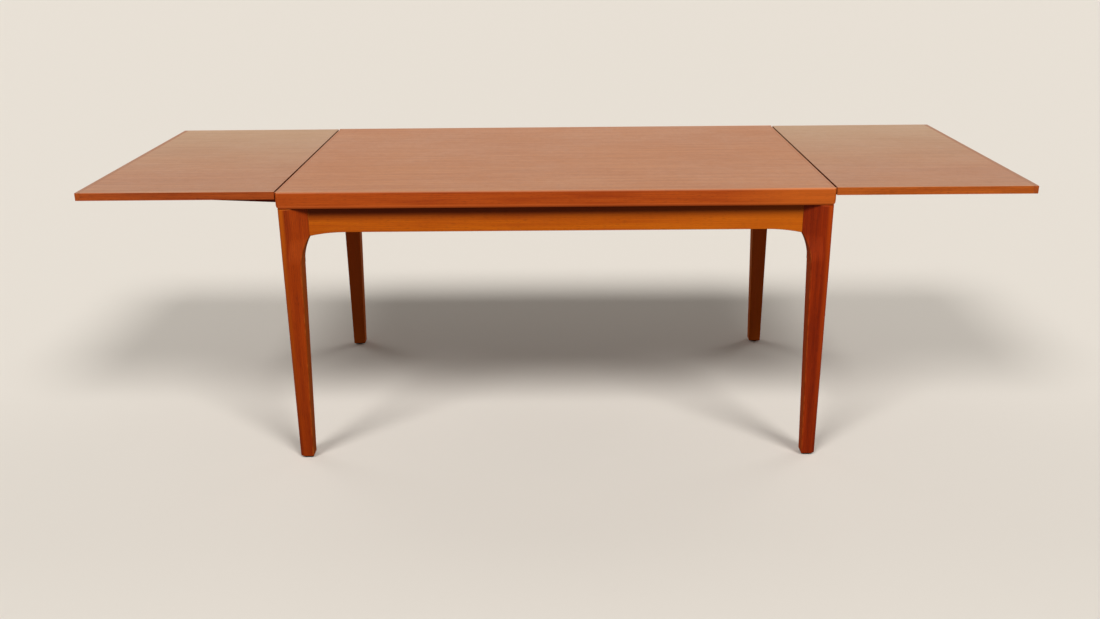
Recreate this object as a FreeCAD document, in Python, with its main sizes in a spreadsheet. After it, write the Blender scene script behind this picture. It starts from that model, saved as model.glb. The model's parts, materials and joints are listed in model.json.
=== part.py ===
# Draw leaf table: a fixed frame, a lift-off top and two leaves that slide out on tapered runners.
# Origin: centre of the footprint at floor level. +X points along the table, +Y to its back, +Z up.
# The pose is the table opened out, both leaves drawn and the top lying level between them.
import FreeCAD, Part
import math
import os
import Sketcher

DRIVING_SIZES = {
    # the top and its edges
    "top_length": 1400, "top_width": 900, "table_height": 736, "top_thickness": 21.5,
    "lip_depth": 43, "lip_thickness": 8, "lip_undercut": 3, "lip_undercut_rise": 10,
    "edge_round": 4, "plan_corner_radius": 8, "end_band_width": 10,
    # the leaves
    "leaf_length": 500, "leaf_thickness": 20, "leaf_gap": 3, "leaf_side_clearance": 1.5,
    "leaf_stow_clearance": 0.5, "leaf_end_lipping": 12, "leaf_side_lipping": 5,
    # legs
    "leg_inset": 0.5, "leg_width": 52, "foot_width": 37.5, "foot_inset": 3.5,
    "foot_nose_radius": 14, "knee_nose_radius": 18, "head_nose_radius": 20, "leg_reveal": 1,
    "head_width": 75, "ear_height": 78, "leg_top_clearance": 2,
    # aprons and end rails
    "apron_recess": 20, "apron_thickness": 22, "apron_gap": 2, "apron_height": 64,
    "apron_flare": 90, "apron_flare_drop": 9.5, "end_rail_recess": 20, "end_rail_thickness": 22,
    "end_rail_gap": 2, "tenon_thickness": 12, "tenon_length": 30, "tenon_margin": 9,
    # cross bearers, centre board and what holds them
    "bearer_thickness": 24, "bearer_housing": 6, "bearer_inset": 3,
    "board_leaf_gap": 3, "board_screw_offset": 100, "board_screw_inset": 40,
    "centre_board_thickness": 20, "pad_thickness": 1.5, "pad_radius": 10, "pad_inset": 40,
    "dowel_radius": 8, "dowel_drop": 33, "dowel_socket": 12, "dowel_offset": 300,
    "dowel_chamfer": 2, "dowel_clearance": 0.3,
    # runners and stops
    "runner_thickness": 18, "runner_bar_height": 28, "runner_notch_depth": 25,
    "runner_end_setback": 18, "runner_shoulder_setback": 2, "runner_tail": 20,
    "right_runner_offset": 221, "left_runner_offset": 268, "slide_clearance": 0.3,
    "channel_side_clearance": 0.5, "peg_radius": 4, "peg_reach": 8, "peg_passage": 4,
    # corner blocks
    "block_height": 35, "block_rise": 4.5, "block_seat": 60, "block_standoff": 12,
    # screws and glides
    "screw_radius": 2.25, "screw_head_radius": 4.5, "screw_head_height": 3,
    "screw_length": 32, "screw_bite": 12, "fit_gap": 0.1,
    "glide_radius": 12, "glide_thickness": 4, "glide_pin_radius": 1.5, "glide_pin_length": 12,
}

doc = FreeCAD.newDocument("DrawLeafTable")
sheet = doc.addObject("Spreadsheet::Sheet", "Sizes")
for row, (alias, value) in enumerate(DRIVING_SIZES.items(), start=1):
    sheet.set(f"A{row}", alias)
    sheet.set(f"B{row}", str(value))
    sheet.setAlias(f"B{row}", alias)
doc.recompute()

# Expressions worked out from the driving sizes, named once and used by every piece they concern.
HALF_LENGTH = "(Sizes.top_length / 2)"
HALF_WIDTH = "(Sizes.top_width / 2)"
HEIGHT = "Sizes.table_height"
TOP_UNDERSIDE = "(Sizes.table_height - Sizes.top_thickness)"
LIP_BOTTOM = "(Sizes.table_height - Sizes.lip_depth)"
LIP_INSIDE = f"({HALF_WIDTH} - Sizes.lip_thickness)"
LEAF_HALF_WIDTH = f"({LIP_INSIDE} - Sizes.leaf_side_clearance)"
LEAF_UNDERSIDE = "(Sizes.table_height - Sizes.leaf_thickness)"
LEAF_START = f"({HALF_LENGTH} + Sizes.leaf_gap)"
LEAF_END = f"({LEAF_START} + Sizes.leaf_length)"
LEG_OUTSIDE_X = f"({HALF_LENGTH} - Sizes.leg_inset)"
LEG_OUTSIDE_Y = f"({HALF_WIDTH} - Sizes.leg_inset)"
LEG_TOP = f"({LIP_BOTTOM} - Sizes.leg_top_clearance)"
APRON_TOP = f"({LIP_BOTTOM} - Sizes.apron_gap)"
APRON_BOTTOM = f"({APRON_TOP} - Sizes.apron_height)"
EAR_BOTTOM = f"({APRON_BOTTOM} - Sizes.apron_flare_drop)"
KNEE = f"({EAR_BOTTOM} - Sizes.ear_height)"
END_RAIL_TOP = f"({LIP_BOTTOM} - Sizes.end_rail_gap)"
RUNNER_SEAT = f"({END_RAIL_TOP} - Sizes.runner_notch_depth)"
TENON_HEIGHTS = f"({APRON_BOTTOM} + Sizes.tenon_margin)", f"({APRON_TOP} - Sizes.tenon_margin)"
SHOULDER_X = f"({LEG_OUTSIDE_X} - Sizes.head_width)"
SHOULDER_Y = f"({LEG_OUTSIDE_Y} - Sizes.head_width)"
APRON_FACE = f"({HALF_WIDTH} - Sizes.apron_recess)"
APRON_BACK = f"({APRON_FACE} - Sizes.apron_thickness)"
RAIL_FACE = f"({HALF_LENGTH} - Sizes.end_rail_recess)"
RAIL_BACK = f"({RAIL_FACE} - Sizes.end_rail_thickness)"
RAIL_MIDDLE = f"({RAIL_FACE} - Sizes.end_rail_thickness / 2)"
LEAF_TRAVEL = "(Sizes.leaf_length + Sizes.leaf_gap)"
LEAF_DROP = "(Sizes.top_thickness + Sizes.leaf_stow_clearance)"
SLOPE = f"({LEAF_DROP} / {LEAF_TRAVEL})"
STOWED_LEAF_INSIDE = f"({HALF_LENGTH} - Sizes.leaf_length)"
BOARD_END = f"({STOWED_LEAF_INSIDE} - Sizes.board_leaf_gap)"
BOARD_TOP = f"({TOP_UNDERSIDE} - Sizes.pad_thickness)"
BOARD_BOTTOM = f"({BOARD_TOP} - Sizes.centre_board_thickness)"
BEARER_FACE = f"({BOARD_END} - Sizes.bearer_inset)"
BEARER_BACK = f"({BEARER_FACE} - Sizes.bearer_thickness)"
BEARER_MIDDLE = f"({BEARER_FACE} - Sizes.bearer_thickness / 2)"
PEG_X = f"({BEARER_BACK} - Sizes.slide_clearance - Sizes.peg_radius)"
RUNNER_TAIL_X = f"({BEARER_BACK} - Sizes.runner_tail)"
RUNNER_END_X = f"({LEAF_END} - Sizes.runner_end_setback)"
LEG_LEAN = f"(Sizes.foot_inset / ({LEG_TOP} - Sizes.glide_thickness))"
FOOT_MIDDLE_X = f"({LEG_OUTSIDE_X} - Sizes.foot_inset - Sizes.foot_width / 2)"
FOOT_MIDDLE_Y = f"({LEG_OUTSIDE_Y} - Sizes.foot_inset - Sizes.foot_width / 2)"

SIDES = {"left": -1, "right": 1}
DEPTHS = {"front": -1, "back": 1}

nodes = []
probe = doc.addObject("App::FeaturePython", "Probe")
probe.addProperty("App::PropertyFloat", "value")


def number(expression):
    """The present value of an expression over the driving sizes."""
    probe.setExpression("value", expression)
    probe.recompute()
    return probe.value


def runner_line(x):
    """Height of the runners' lower edge at a distance x from the table's middle."""
    return f"({RUNNER_SEAT} + {SLOPE} * ({x} - {RAIL_MIDDLE}))"


def mirrored(sign, low, high):
    """A span on one side of the middle, as its low and high ends."""
    if sign > 0:
        return low, high
    return f"-({high})", f"-({low})"


def both_sides(half):
    return f"-({half})", half


def as_node(label, piece):
    """Give a finished piece the name under which it is written."""
    piece.Label = label
    nodes.append(piece)
    return piece


def place(piece, x, y, z):
    for axis, expression in zip("xyz", (x, y, z)):
        piece.setExpression(f"Placement.Base.{axis}", str(expression))


def box(x, y, z, name="Block"):
    """A box from three spans, each a pair of expressions."""
    piece = doc.addObject("Part::Box", name)
    for side, (low, high) in zip(("Length", "Width", "Height"), (x, y, z)):
        piece.setExpression(side, f"{high} - ({low})")
    place(piece, x[0], y[0], z[0])
    return piece


def cylinder(radius, height, x, y, z, axis=None, name="Round"):
    """An upright cylinder, or one turned so that its length lies along the given axis."""
    piece = doc.addObject("Part::Cylinder", name)
    piece.setExpression("Radius", radius)
    piece.setExpression("Height", height)
    if axis:
        piece.Placement.Rotation = FreeCAD.Rotation(FreeCAD.Vector(0, 0, 1), axis)
    place(piece, x, y, z)
    return piece


def fuse(pieces, name="Joined"):
    piece = doc.addObject("Part::MultiFuse", name)
    piece.Shapes = pieces
    return piece


def group(pieces, name="Group"):
    """Separate solids kept together under one name."""
    piece = doc.addObject("Part::Compound", name)
    piece.Links = pieces
    return piece


def cut(base, tools, name="Cut"):
    """Take the tools away from the base."""
    piece = doc.addObject("Part::Cut", name)
    piece.Base = base
    piece.Tool = tools[0] if len(tools) == 1 else fuse(tools)
    return piece


def sketch_on(body, role, name):
    """A sketch on one of the body's own origin planes."""
    sketch = body.newObject("Sketcher::SketchObject", name)
    plane = next(part for part in body.Origin.OriginFeatures if part.Role == role)
    sketch.AttachmentSupport = [(plane, "")]
    sketch.MapMode = "FlatFace"
    return sketch


def arc_between(start, end, radius, turn):
    """The short arc from start to end; turn is 1 where it turns left on the way and -1 where right."""
    chord = end - start
    across = FreeCAD.Vector(-chord.y, chord.x, 0).normalize() * turn
    rise = math.sqrt(radius**2 - (chord.Length / 2) ** 2)
    centre = (start + end) / 2 + across * rise
    first, last = (start, end) if turn > 0 else (end, start)
    angles = [math.atan2(point.y - centre.y, point.x - centre.x) for point in (first, last)]
    circle = Part.Circle(centre, FreeCAD.Vector(0, 0, 1), radius)
    return Part.ArcOfCircle(circle, angles[0], angles[1])


def draw(sketch, corners):
    """Draw a closed outline whose corners are pairs of expressions.

    A corner may carry two more entries, the radius and the turn of an arc to the next corner.
    """
    points = [FreeCAD.Vector(number(corner[0]), number(corner[1]), 0) for corner in corners]
    edges = []
    for here, corner in enumerate(corners):
        start, end = points[here], points[(here + 1) % len(points)]
        if len(corner) > 2:
            edge = arc_between(start, end, number(corner[2]), corner[3])
            starts_at, ends_at = (1, 2) if corner[3] > 0 else (2, 1)
        else:
            edge = Part.LineSegment(start, end)
            starts_at, ends_at = 1, 2
        edges.append((sketch.addGeometry(edge), starts_at, ends_at))
    for here, (edge, _, ends_at) in enumerate(edges):
        follower, starts_at, _ = edges[(here + 1) % len(edges)]
        sketch.addConstraint(Sketcher.Constraint("Coincident", edge, ends_at, follower, starts_at))
    for corner, point, (edge, starts_at, _) in zip(corners, points, edges):
        for kind, value, expression in (
            ("DistanceX", point.x, corner[0]),
            ("DistanceY", point.y, corner[1]),
        ):
            rule = Sketcher.Constraint(kind, -1, 1, edge, starts_at, value)
            sketch.setExpression(f"Constraints[{sketch.addConstraint(rule)}]", expression)
        if len(corner) > 2:
            rule = Sketcher.Constraint("Radius", edge, number(corner[2]))
            sketch.setExpression(f"Constraints[{sketch.addConstraint(rule)}]", corner[2])


def body_from_outline(corners, role, thickness, name):
    """A body padded to both sides of one of its planes from an outline."""
    body = doc.addObject("PartDesign::Body", name)
    sketch = sketch_on(body, role, name + "Outline")
    draw(sketch, corners)
    pad = body.newObject("PartDesign::Pad", name + "Pad")
    pad.Profile = sketch
    pad.SideType = "Symmetric"
    pad.setExpression("Length", thickness)
    sketch.Visibility = False
    return body


def pocket_outline(body, role, outlines, name):
    """Cut outlines right through a body, to both sides of the plane they are drawn on."""
    sketch = sketch_on(body, role, name + "Outline")
    for corners in outlines:
        draw(sketch, corners)
    pocket = body.newObject("PartDesign::Pocket", name)
    pocket.Profile = sketch
    pocket.Type = "ThroughAll"
    pocket.SideType = "Symmetric"
    sketch.Visibility = False
    return pocket


def tangent_radius(run, rise):
    """Radius of the arc that leaves a straight edge smoothly and moves over by run while it rises."""
    return f"((({run}) ^ 2 + ({rise}) ^ 2) / (2 * ({run})))"


def leg_outline(outside, shoulder, sign):
    """A leg seen square on: tapered inside, bracket arc up to the ear, level head.

    Its outer side is left full, because the envelope of the leg shapes that.
    """
    knee = f"({outside} - Sizes.leg_width)"
    ear_radius = tangent_radius(f"{knee} - {shoulder}", "Sizes.ear_height")
    full_side = f"({outside} + Sizes.leg_width)"
    corners = [
        (full_side, "Sizes.glide_thickness"),
        (full_side, LEG_TOP),
        (shoulder, LEG_TOP),
        (shoulder, EAR_BOTTOM, ear_radius, -sign),
        (knee, KNEE),
        (f"{outside} - Sizes.foot_inset - Sizes.foot_width", "Sizes.glide_thickness"),
    ]
    return [(f"{sign} * ({corner[0]})", *corner[1:]) for corner in corners]


def face_turn(run, rise):
    """Angle at which a leg's face falls back from its nose to a point at run and rise from its centre."""
    nose = "Sizes.head_nose_radius"
    return f"(atan(({rise}) / ({run})) + asin({nose} / sqrt(({run}) ^ 2 + ({rise}) ^ 2)))"


def head_turns():
    """Angles at which the head's front and end faces fall back to meet the apron and the end rail."""
    nose_x = f"({LEG_OUTSIDE_X} - Sizes.head_nose_radius)"
    nose_y = f"({LEG_OUTSIDE_Y} - Sizes.head_nose_radius)"
    beside_apron = f"({APRON_FACE} + Sizes.leg_reveal)"
    beside_rail = f"({RAIL_FACE} + Sizes.leg_reveal)"
    front_turn = face_turn(f"{nose_x} - {SHOULDER_X}", f"{nose_y} - {beside_apron}")
    end_turn = face_turn(f"{nose_y} - {SHOULDER_Y}", f"{nose_x} - {beside_rail}")
    return front_turn, end_turn


def leg_plan(sign_x, sign_y, height, nose, front_turn, end_turn):
    """A leg seen from above at one height: a round nose outside and a face to each side of it."""
    nose_x = f"({LEG_OUTSIDE_X} - {nose})"
    nose_y = f"({LEG_OUTSIDE_Y} - {nose})"
    far_x = f"({SHOULDER_X} - Sizes.leg_width)"
    far_y = f"({SHOULDER_Y} - Sizes.leg_width)"
    end_x = f"({nose_x} + {nose} * cos({end_turn}))"
    end_y = f"({nose_y} - {nose} * sin({end_turn}))"
    front_x = f"({nose_x} - {nose} * sin({front_turn}))"
    front_y = f"({nose_y} + {nose} * cos({front_turn}))"
    upright = [
        (far_x, far_y),
        (f"{end_x} - ({end_y} - {far_y}) * tan({end_turn})", far_y),
        (end_x, end_y, nose, sign_x * sign_y),
        (front_x, front_y),
        (far_x, f"{front_y} - ({front_x} - {far_x}) * tan({front_turn})"),
    ]
    lean = f"{LEG_LEAN} * ({LEG_TOP} - ({height}))"
    return [
        (f"{sign_x} * ({x} - {lean})", f"{sign_y} * ({y} - {lean})", *arc) for x, y, *arc in upright
    ]


def frame_around():
    """A rectangle well outside the padded leg, so that cutting it leaves the outline inside it."""
    far = "(Sizes.top_width + Sizes.leg_width)"
    below, above = "-Sizes.leg_width", f"{HEIGHT} + Sizes.leg_width"
    return [(far, below), (far, above), (f"-{far}", above), (f"-{far}", below)]


def leg_envelope(sign_x, sign_y):
    """The plans of a leg at four heights, joined by straight lines into one leaning solid.

    From the floor to the knee its faces are square. Above the knee they turn, and from the ear up
    they fall back from the nose to the rails.
    """
    square, turned = ("0", "0"), head_turns()
    levels = [
        ("0", "Sizes.foot_nose_radius", *square),
        (KNEE, "Sizes.knee_nose_radius", *square),
        (EAR_BOTTOM, "Sizes.head_nose_radius", *turned),
        (HEIGHT, "Sizes.head_nose_radius", *turned),
    ]
    body = doc.addObject("PartDesign::Body", "LegEnvelope")
    plans = []
    for height, *shape in levels:
        plan = sketch_on(body, "XY_Plane", "LegPlan")
        plan.setExpression("AttachmentOffset.Base.z", height)
        draw(plan, leg_plan(sign_x, sign_y, height, *shape))
        plan.Visibility = False
        plans.append(plan)
    loft = body.newObject("PartDesign::AdditiveLoft", "LegEnvelopeLoft")
    loft.Profile = plans[0]
    loft.Sections = plans[1:]
    loft.Ruled = True
    return body


def make_leg(label, sign_x, sign_y):
    """One leg in the round, with mortises for its apron and end rail and a hole for its glide."""
    body = body_from_outline(
        leg_outline(LEG_OUTSIDE_X, SHOULDER_X, sign_x), "XZ_Plane", "2 * Sizes.top_width", "Leg"
    )
    side_view = leg_outline(LEG_OUTSIDE_Y, SHOULDER_Y, sign_y)
    pocket_outline(body, "YZ_Plane", [frame_around(), side_view], "SideShape")
    core_x = f"{sign_x} * ({LEG_OUTSIDE_X} - Sizes.leg_width)"
    core_y = f"{sign_y} * ({LEG_OUTSIDE_Y} - Sizes.leg_width)"
    inner_corner = [(core_x, core_y), (core_x, "0"), ("0", "0"), ("0", core_y)]
    pocket_outline(body, "XY_Plane", [inner_corner], "InnerCorner")
    shaped = doc.addObject("Part::MultiCommon", "LegShaped")
    shaped.Shapes = [body, leg_envelope(sign_x, sign_y)]
    depth = "Sizes.tenon_length + Sizes.fit_gap"
    grow = "Sizes.tenon_thickness / 2 + Sizes.fit_gap"
    apron_middle = f"({APRON_FACE} - Sizes.apron_thickness / 2)"
    tenon_span = f"{TENON_HEIGHTS[0]} - Sizes.fit_gap", f"{TENON_HEIGHTS[1]} + Sizes.fit_gap"
    for_apron = box(
        mirrored(sign_x, SHOULDER_X, f"{SHOULDER_X} + {depth}"),
        mirrored(sign_y, f"{apron_middle} - ({grow})", f"{apron_middle} + {grow}"),
        tenon_span,
    )
    for_rail = box(
        mirrored(sign_x, f"{RAIL_MIDDLE} - ({grow})", f"{RAIL_MIDDLE} + {grow}"),
        mirrored(sign_y, SHOULDER_Y, f"{SHOULDER_Y} + {depth}"),
        tenon_span,
    )
    for_glide = cylinder(
        "Sizes.glide_pin_radius + Sizes.fit_gap",
        "Sizes.glide_thickness + Sizes.glide_pin_length + Sizes.fit_gap",
        f"{sign_x} * {FOOT_MIDDLE_X}", f"{sign_y} * {FOOT_MIDDLE_Y}", "0",
    )
    as_node(label, cut(shaped, [for_apron, for_rail, for_glide], "LegJointed"))


def rail_outline(shoulder, top):
    """A rail seen square on: level top, straight lower edge flaring down to each ear."""
    flare_start = f"({shoulder} - Sizes.apron_flare)"
    flare_radius = tangent_radius("Sizes.apron_flare_drop", "Sizes.apron_flare")
    return [
        (f"-{shoulder}", EAR_BOTTOM, flare_radius, -1),
        (f"-{flare_start}", APRON_BOTTOM),
        (flare_start, APRON_BOTTOM, flare_radius, -1),
        (shoulder, EAR_BOTTOM),
        (shoulder, top),
        (f"-{shoulder}", top),
    ]


def screw_along(direction, x, y, z):
    """A screw with its head's seat at the given point, its shank going on along the direction."""
    axis = FreeCAD.Vector(*direction)
    shank = cylinder("Sizes.screw_radius", "Sizes.screw_length", x, y, z, axis)
    back = [f"{seat} - ({step}) * Sizes.screw_head_height" for seat, step in zip((x, y, z), direction)]
    head = cylinder("Sizes.screw_head_radius", "Sizes.screw_head_height", *back, axis)
    return fuse([shank, head], "Screw")


def screw_hole(direction, x, y, z, open_depth):
    """The hole for such a screw, with a counterbore that reaches back by the open depth."""
    axis = FreeCAD.Vector(*direction)
    bore = cylinder(
        "Sizes.screw_radius + Sizes.fit_gap", "Sizes.screw_length + Sizes.fit_gap", x, y, z, axis
    )
    back = [f"{seat} - ({step}) * ({open_depth})" for seat, step in zip((x, y, z), direction)]
    counterbore = cylinder("Sizes.screw_head_radius + Sizes.fit_gap", open_depth, *back, axis)
    return [bore, counterbore]


def channel(sign, offset, half_width, x_from, x_to, drop, height):
    """A sloped passage that follows a runner's line between two distances from the middle."""
    start = x_from if sign > 0 else x_to
    passage = doc.addObject("Part::Box", "Channel")
    passage.setExpression("Length", f"({x_to} - {x_from})")
    passage.setExpression("Width", f"2 * ({half_width})")
    passage.setExpression("Height", height)
    passage.Placement.Rotation = FreeCAD.Rotation(FreeCAD.Vector(0, -sign, 0), 1)
    passage.setExpression("Placement.Rotation.Angle", f"atan({SLOPE})")
    place(passage, f"{sign} * {start}", f"{offset} - ({half_width})", f"{runner_line(start)} - ({drop})")
    return passage


def make_aprons():
    """Long aprons, tenoned into the legs and housed on the inside for the cross bearers."""
    for depth, sign in DEPTHS.items():
        panel = body_from_outline(
            rail_outline(SHOULDER_X, APRON_TOP), "XZ_Plane", "Sizes.apron_thickness", "Apron"
        )
        middle = f"{sign} * ({APRON_FACE} - Sizes.apron_thickness / 2)"
        place(panel, "0", middle, "0")
        tenon = box(
            both_sides(f"({SHOULDER_X} + Sizes.tenon_length)"),
            (f"{middle} - Sizes.tenon_thickness / 2", f"{middle} + Sizes.tenon_thickness / 2"),
            TENON_HEIGHTS,
        )
        tools = []
        for side in SIDES.values():
            tools.append(box(
                mirrored(side, BEARER_BACK, BEARER_FACE),
                mirrored(sign, APRON_BACK, f"{APRON_BACK} + Sizes.bearer_housing"),
                (APRON_BOTTOM, APRON_TOP),
            ))
            tools += block_screw_holes(side, sign, along="y")
        as_node(f"apron_{depth}", cut(fuse([panel, tenon]), tools, "ApronJointed"))


def runner_offset(side):
    return f"Sizes.{side}_runner_offset"


def make_end_rails():
    """End rails, tenoned into the legs and notched where the runners slide over them."""
    for side, sign in SIDES.items():
        panel = body_from_outline(
            rail_outline(SHOULDER_Y, END_RAIL_TOP), "YZ_Plane", "Sizes.end_rail_thickness", "EndRail"
        )
        middle = f"{sign} * {RAIL_MIDDLE}"
        place(panel, middle, "0", "0")
        tenon = box(
            (f"{middle} - Sizes.tenon_thickness / 2", f"{middle} + Sizes.tenon_thickness / 2"),
            both_sides(f"({SHOULDER_Y} + Sizes.tenon_length)"),
            TENON_HEIGHTS,
        )
        tools = []
        for depth in DEPTHS.values():
            tools.append(channel(
                sign, f"{depth} * {runner_offset(side)}",
                "Sizes.runner_thickness / 2 + Sizes.channel_side_clearance",
                f"({RAIL_BACK} - Sizes.end_rail_thickness)", f"({RAIL_FACE} + Sizes.end_rail_thickness)",
                "Sizes.slide_clearance", "2 * Sizes.runner_bar_height",
            ))
            tools += block_screw_holes(sign, depth, along="x")
        as_node(f"end_rail_{side}", cut(fuse([panel, tenon]), tools, "EndRailJointed"))


def make_cross_bearers():
    """Cross bearers: a close slot for the near leaf's runners, an open notch for the far leaf's."""
    for side, sign in SIDES.items():
        other = "left" if side == "right" else "right"
        beam = box(
            mirrored(sign, BEARER_BACK, BEARER_FACE),
            both_sides(f"({APRON_BACK} + Sizes.bearer_housing)"),
            (APRON_BOTTOM, BOARD_BOTTOM),
        )
        far_line = runner_line(f"(-{BEARER_BACK})")
        passage = "(Sizes.runner_thickness / 2 + Sizes.peg_reach + Sizes.peg_passage)"
        tools = []
        for depth in DEPTHS.values():
            tools.append(channel(
                sign, f"{depth} * {runner_offset(side)}",
                "Sizes.runner_thickness / 2 + Sizes.channel_side_clearance",
                f"({BEARER_BACK} - Sizes.bearer_thickness)", f"({BEARER_FACE} + Sizes.bearer_thickness)",
                "Sizes.slide_clearance", "Sizes.runner_bar_height + 2 * Sizes.slide_clearance",
            ))
            middle = f"{depth} * {runner_offset(other)}"
            tools.append(box(
                mirrored(sign, BEARER_BACK, BEARER_FACE),
                (f"{middle} - {passage}", f"{middle} + {passage}"),
                (APRON_BOTTOM, f"{far_line} + Sizes.runner_bar_height + Sizes.peg_passage"),
            ))
        for y in BOARD_SCREWS_Y:
            tools += board_screw_hole(sign, y)
        as_node(f"cross_bearer_{side}", cut(beam, tools, "BearerJointed"))


# The centre board's screws: two near the middle of each bearer and one towards each end.
BOARD_SCREWS_Y = [
    f"{sign} * {distance}"
    for sign in DEPTHS.values()
    for distance in ("Sizes.board_screw_offset", f"({APRON_BACK} - Sizes.board_screw_inset)")
]
BOARD_SCREW_Z = f"({BOARD_TOP} - Sizes.screw_head_height)"


def board_screw_hole(sign, y):
    return screw_hole(
        (0, 0, -1), f"{sign} * {BEARER_MIDDLE}", y, BOARD_SCREW_Z, "Sizes.screw_head_height"
    )


def make_centre_board():
    """The fixed board between the stowed leaves, which carries the top and locates it."""
    board = box(both_sides(BOARD_END), both_sides(LEAF_HALF_WIDTH), (BOARD_BOTTOM, BOARD_TOP))
    tools = [
        cylinder(
            "Sizes.dowel_radius + Sizes.dowel_clearance", "Sizes.centre_board_thickness",
            "0", f"{depth} * Sizes.dowel_offset", BOARD_BOTTOM,
        )
        for depth in DEPTHS.values()
    ]
    screws = []
    for sign in SIDES.values():
        for y in BOARD_SCREWS_Y:
            tools += board_screw_hole(sign, y)
            screws.append(screw_along((0, 0, -1), f"{sign} * {BEARER_MIDDLE}", y, BOARD_SCREW_Z))
    as_node("centre_board", cut(board, tools, "CentreBoardBored"))
    as_node("centre_board_screws", group(screws))
    pads = [
        cylinder(
            "Sizes.pad_radius", "Sizes.pad_thickness",
            f"{sign} * ({BOARD_END} - Sizes.pad_inset)", f"{depth} * ({LEAF_HALF_WIDTH} - Sizes.pad_inset)",
            BOARD_TOP,
        )
        for sign in SIDES.values()
        for depth in DEPTHS.values()
    ]
    as_node("rest_pads", group(pads))


# A corner block spans from the apron to the end rail, clear of the leg's inner corner.
BLOCK_APRON_NEAR = f"({SHOULDER_X} - Sizes.block_standoff)"
BLOCK_APRON_FAR = f"({BLOCK_APRON_NEAR} - Sizes.block_seat)"
BLOCK_RAIL_NEAR = f"({SHOULDER_Y} - Sizes.block_standoff)"
BLOCK_RAIL_FAR = f"({BLOCK_RAIL_NEAR} - Sizes.block_seat)"
BLOCK_SCREW_Z = f"({APRON_BOTTOM} + Sizes.block_rise + Sizes.block_height / 2)"
BLOCK_SCREW_X = f"(({BLOCK_APRON_NEAR} + {BLOCK_APRON_FAR}) / 2)"
BLOCK_SCREW_Y = f"(({BLOCK_RAIL_NEAR} + {BLOCK_RAIL_FAR}) / 2)"


def block_screw_place(sign_x, sign_y, along):
    """Where a corner block's screw seats its head, and the way it points."""
    if along == "y":
        seat = f"{sign_y} * ({APRON_BACK} + Sizes.screw_bite - Sizes.screw_length)"
        return (0, sign_y, 0), f"{sign_x} * {BLOCK_SCREW_X}", seat, BLOCK_SCREW_Z
    seat = f"{sign_x} * ({RAIL_BACK} + Sizes.screw_bite - Sizes.screw_length)"
    return (sign_x, 0, 0), seat, f"{sign_y} * {BLOCK_SCREW_Y}", BLOCK_SCREW_Z


def block_screw_holes(sign_x, sign_y, along):
    return screw_hole(*block_screw_place(sign_x, sign_y, along), "Sizes.screw_length")


def make_corner_blocks():
    screws = []
    for depth, sign_y in DEPTHS.items():
        for side, sign_x in SIDES.items():
            plan = [
                (BLOCK_APRON_FAR, APRON_BACK),
                (BLOCK_APRON_NEAR, APRON_BACK),
                (RAIL_BACK, BLOCK_RAIL_NEAR),
                (RAIL_BACK, BLOCK_RAIL_FAR),
            ]
            corners = [(f"{sign_x} * ({x})", f"{sign_y} * ({y})") for x, y in plan]
            block = body_from_outline(corners, "XY_Plane", "Sizes.block_height", "CornerBlock")
            place(block, "0", "0", BLOCK_SCREW_Z)
            tools = []
            for along in "xy":
                tools += block_screw_holes(sign_x, sign_y, along)
                screws.append(screw_along(*block_screw_place(sign_x, sign_y, along)))
            as_node(f"corner_block_{depth}_{side}", cut(block, tools, "CornerBlockBored"))
    as_node("corner_block_screws", group(screws))


def make_legs_and_glides():
    glides = []
    for depth, sign_y in DEPTHS.items():
        for side, sign_x in SIDES.items():
            make_leg(f"leg_{depth}_{side}", sign_x, sign_y)
            centre = f"{sign_x} * {FOOT_MIDDLE_X}", f"{sign_y} * {FOOT_MIDDLE_Y}"
            disc = cylinder("Sizes.glide_radius", "Sizes.glide_thickness", *centre, "0")
            pin_length = "Sizes.glide_thickness + Sizes.glide_pin_length"
            pin = cylinder("Sizes.glide_pin_radius", pin_length, *centre, "0")
            glides.append(fuse([disc, pin], "Glide"))
    as_node("foot_glides", group(glides))


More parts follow.
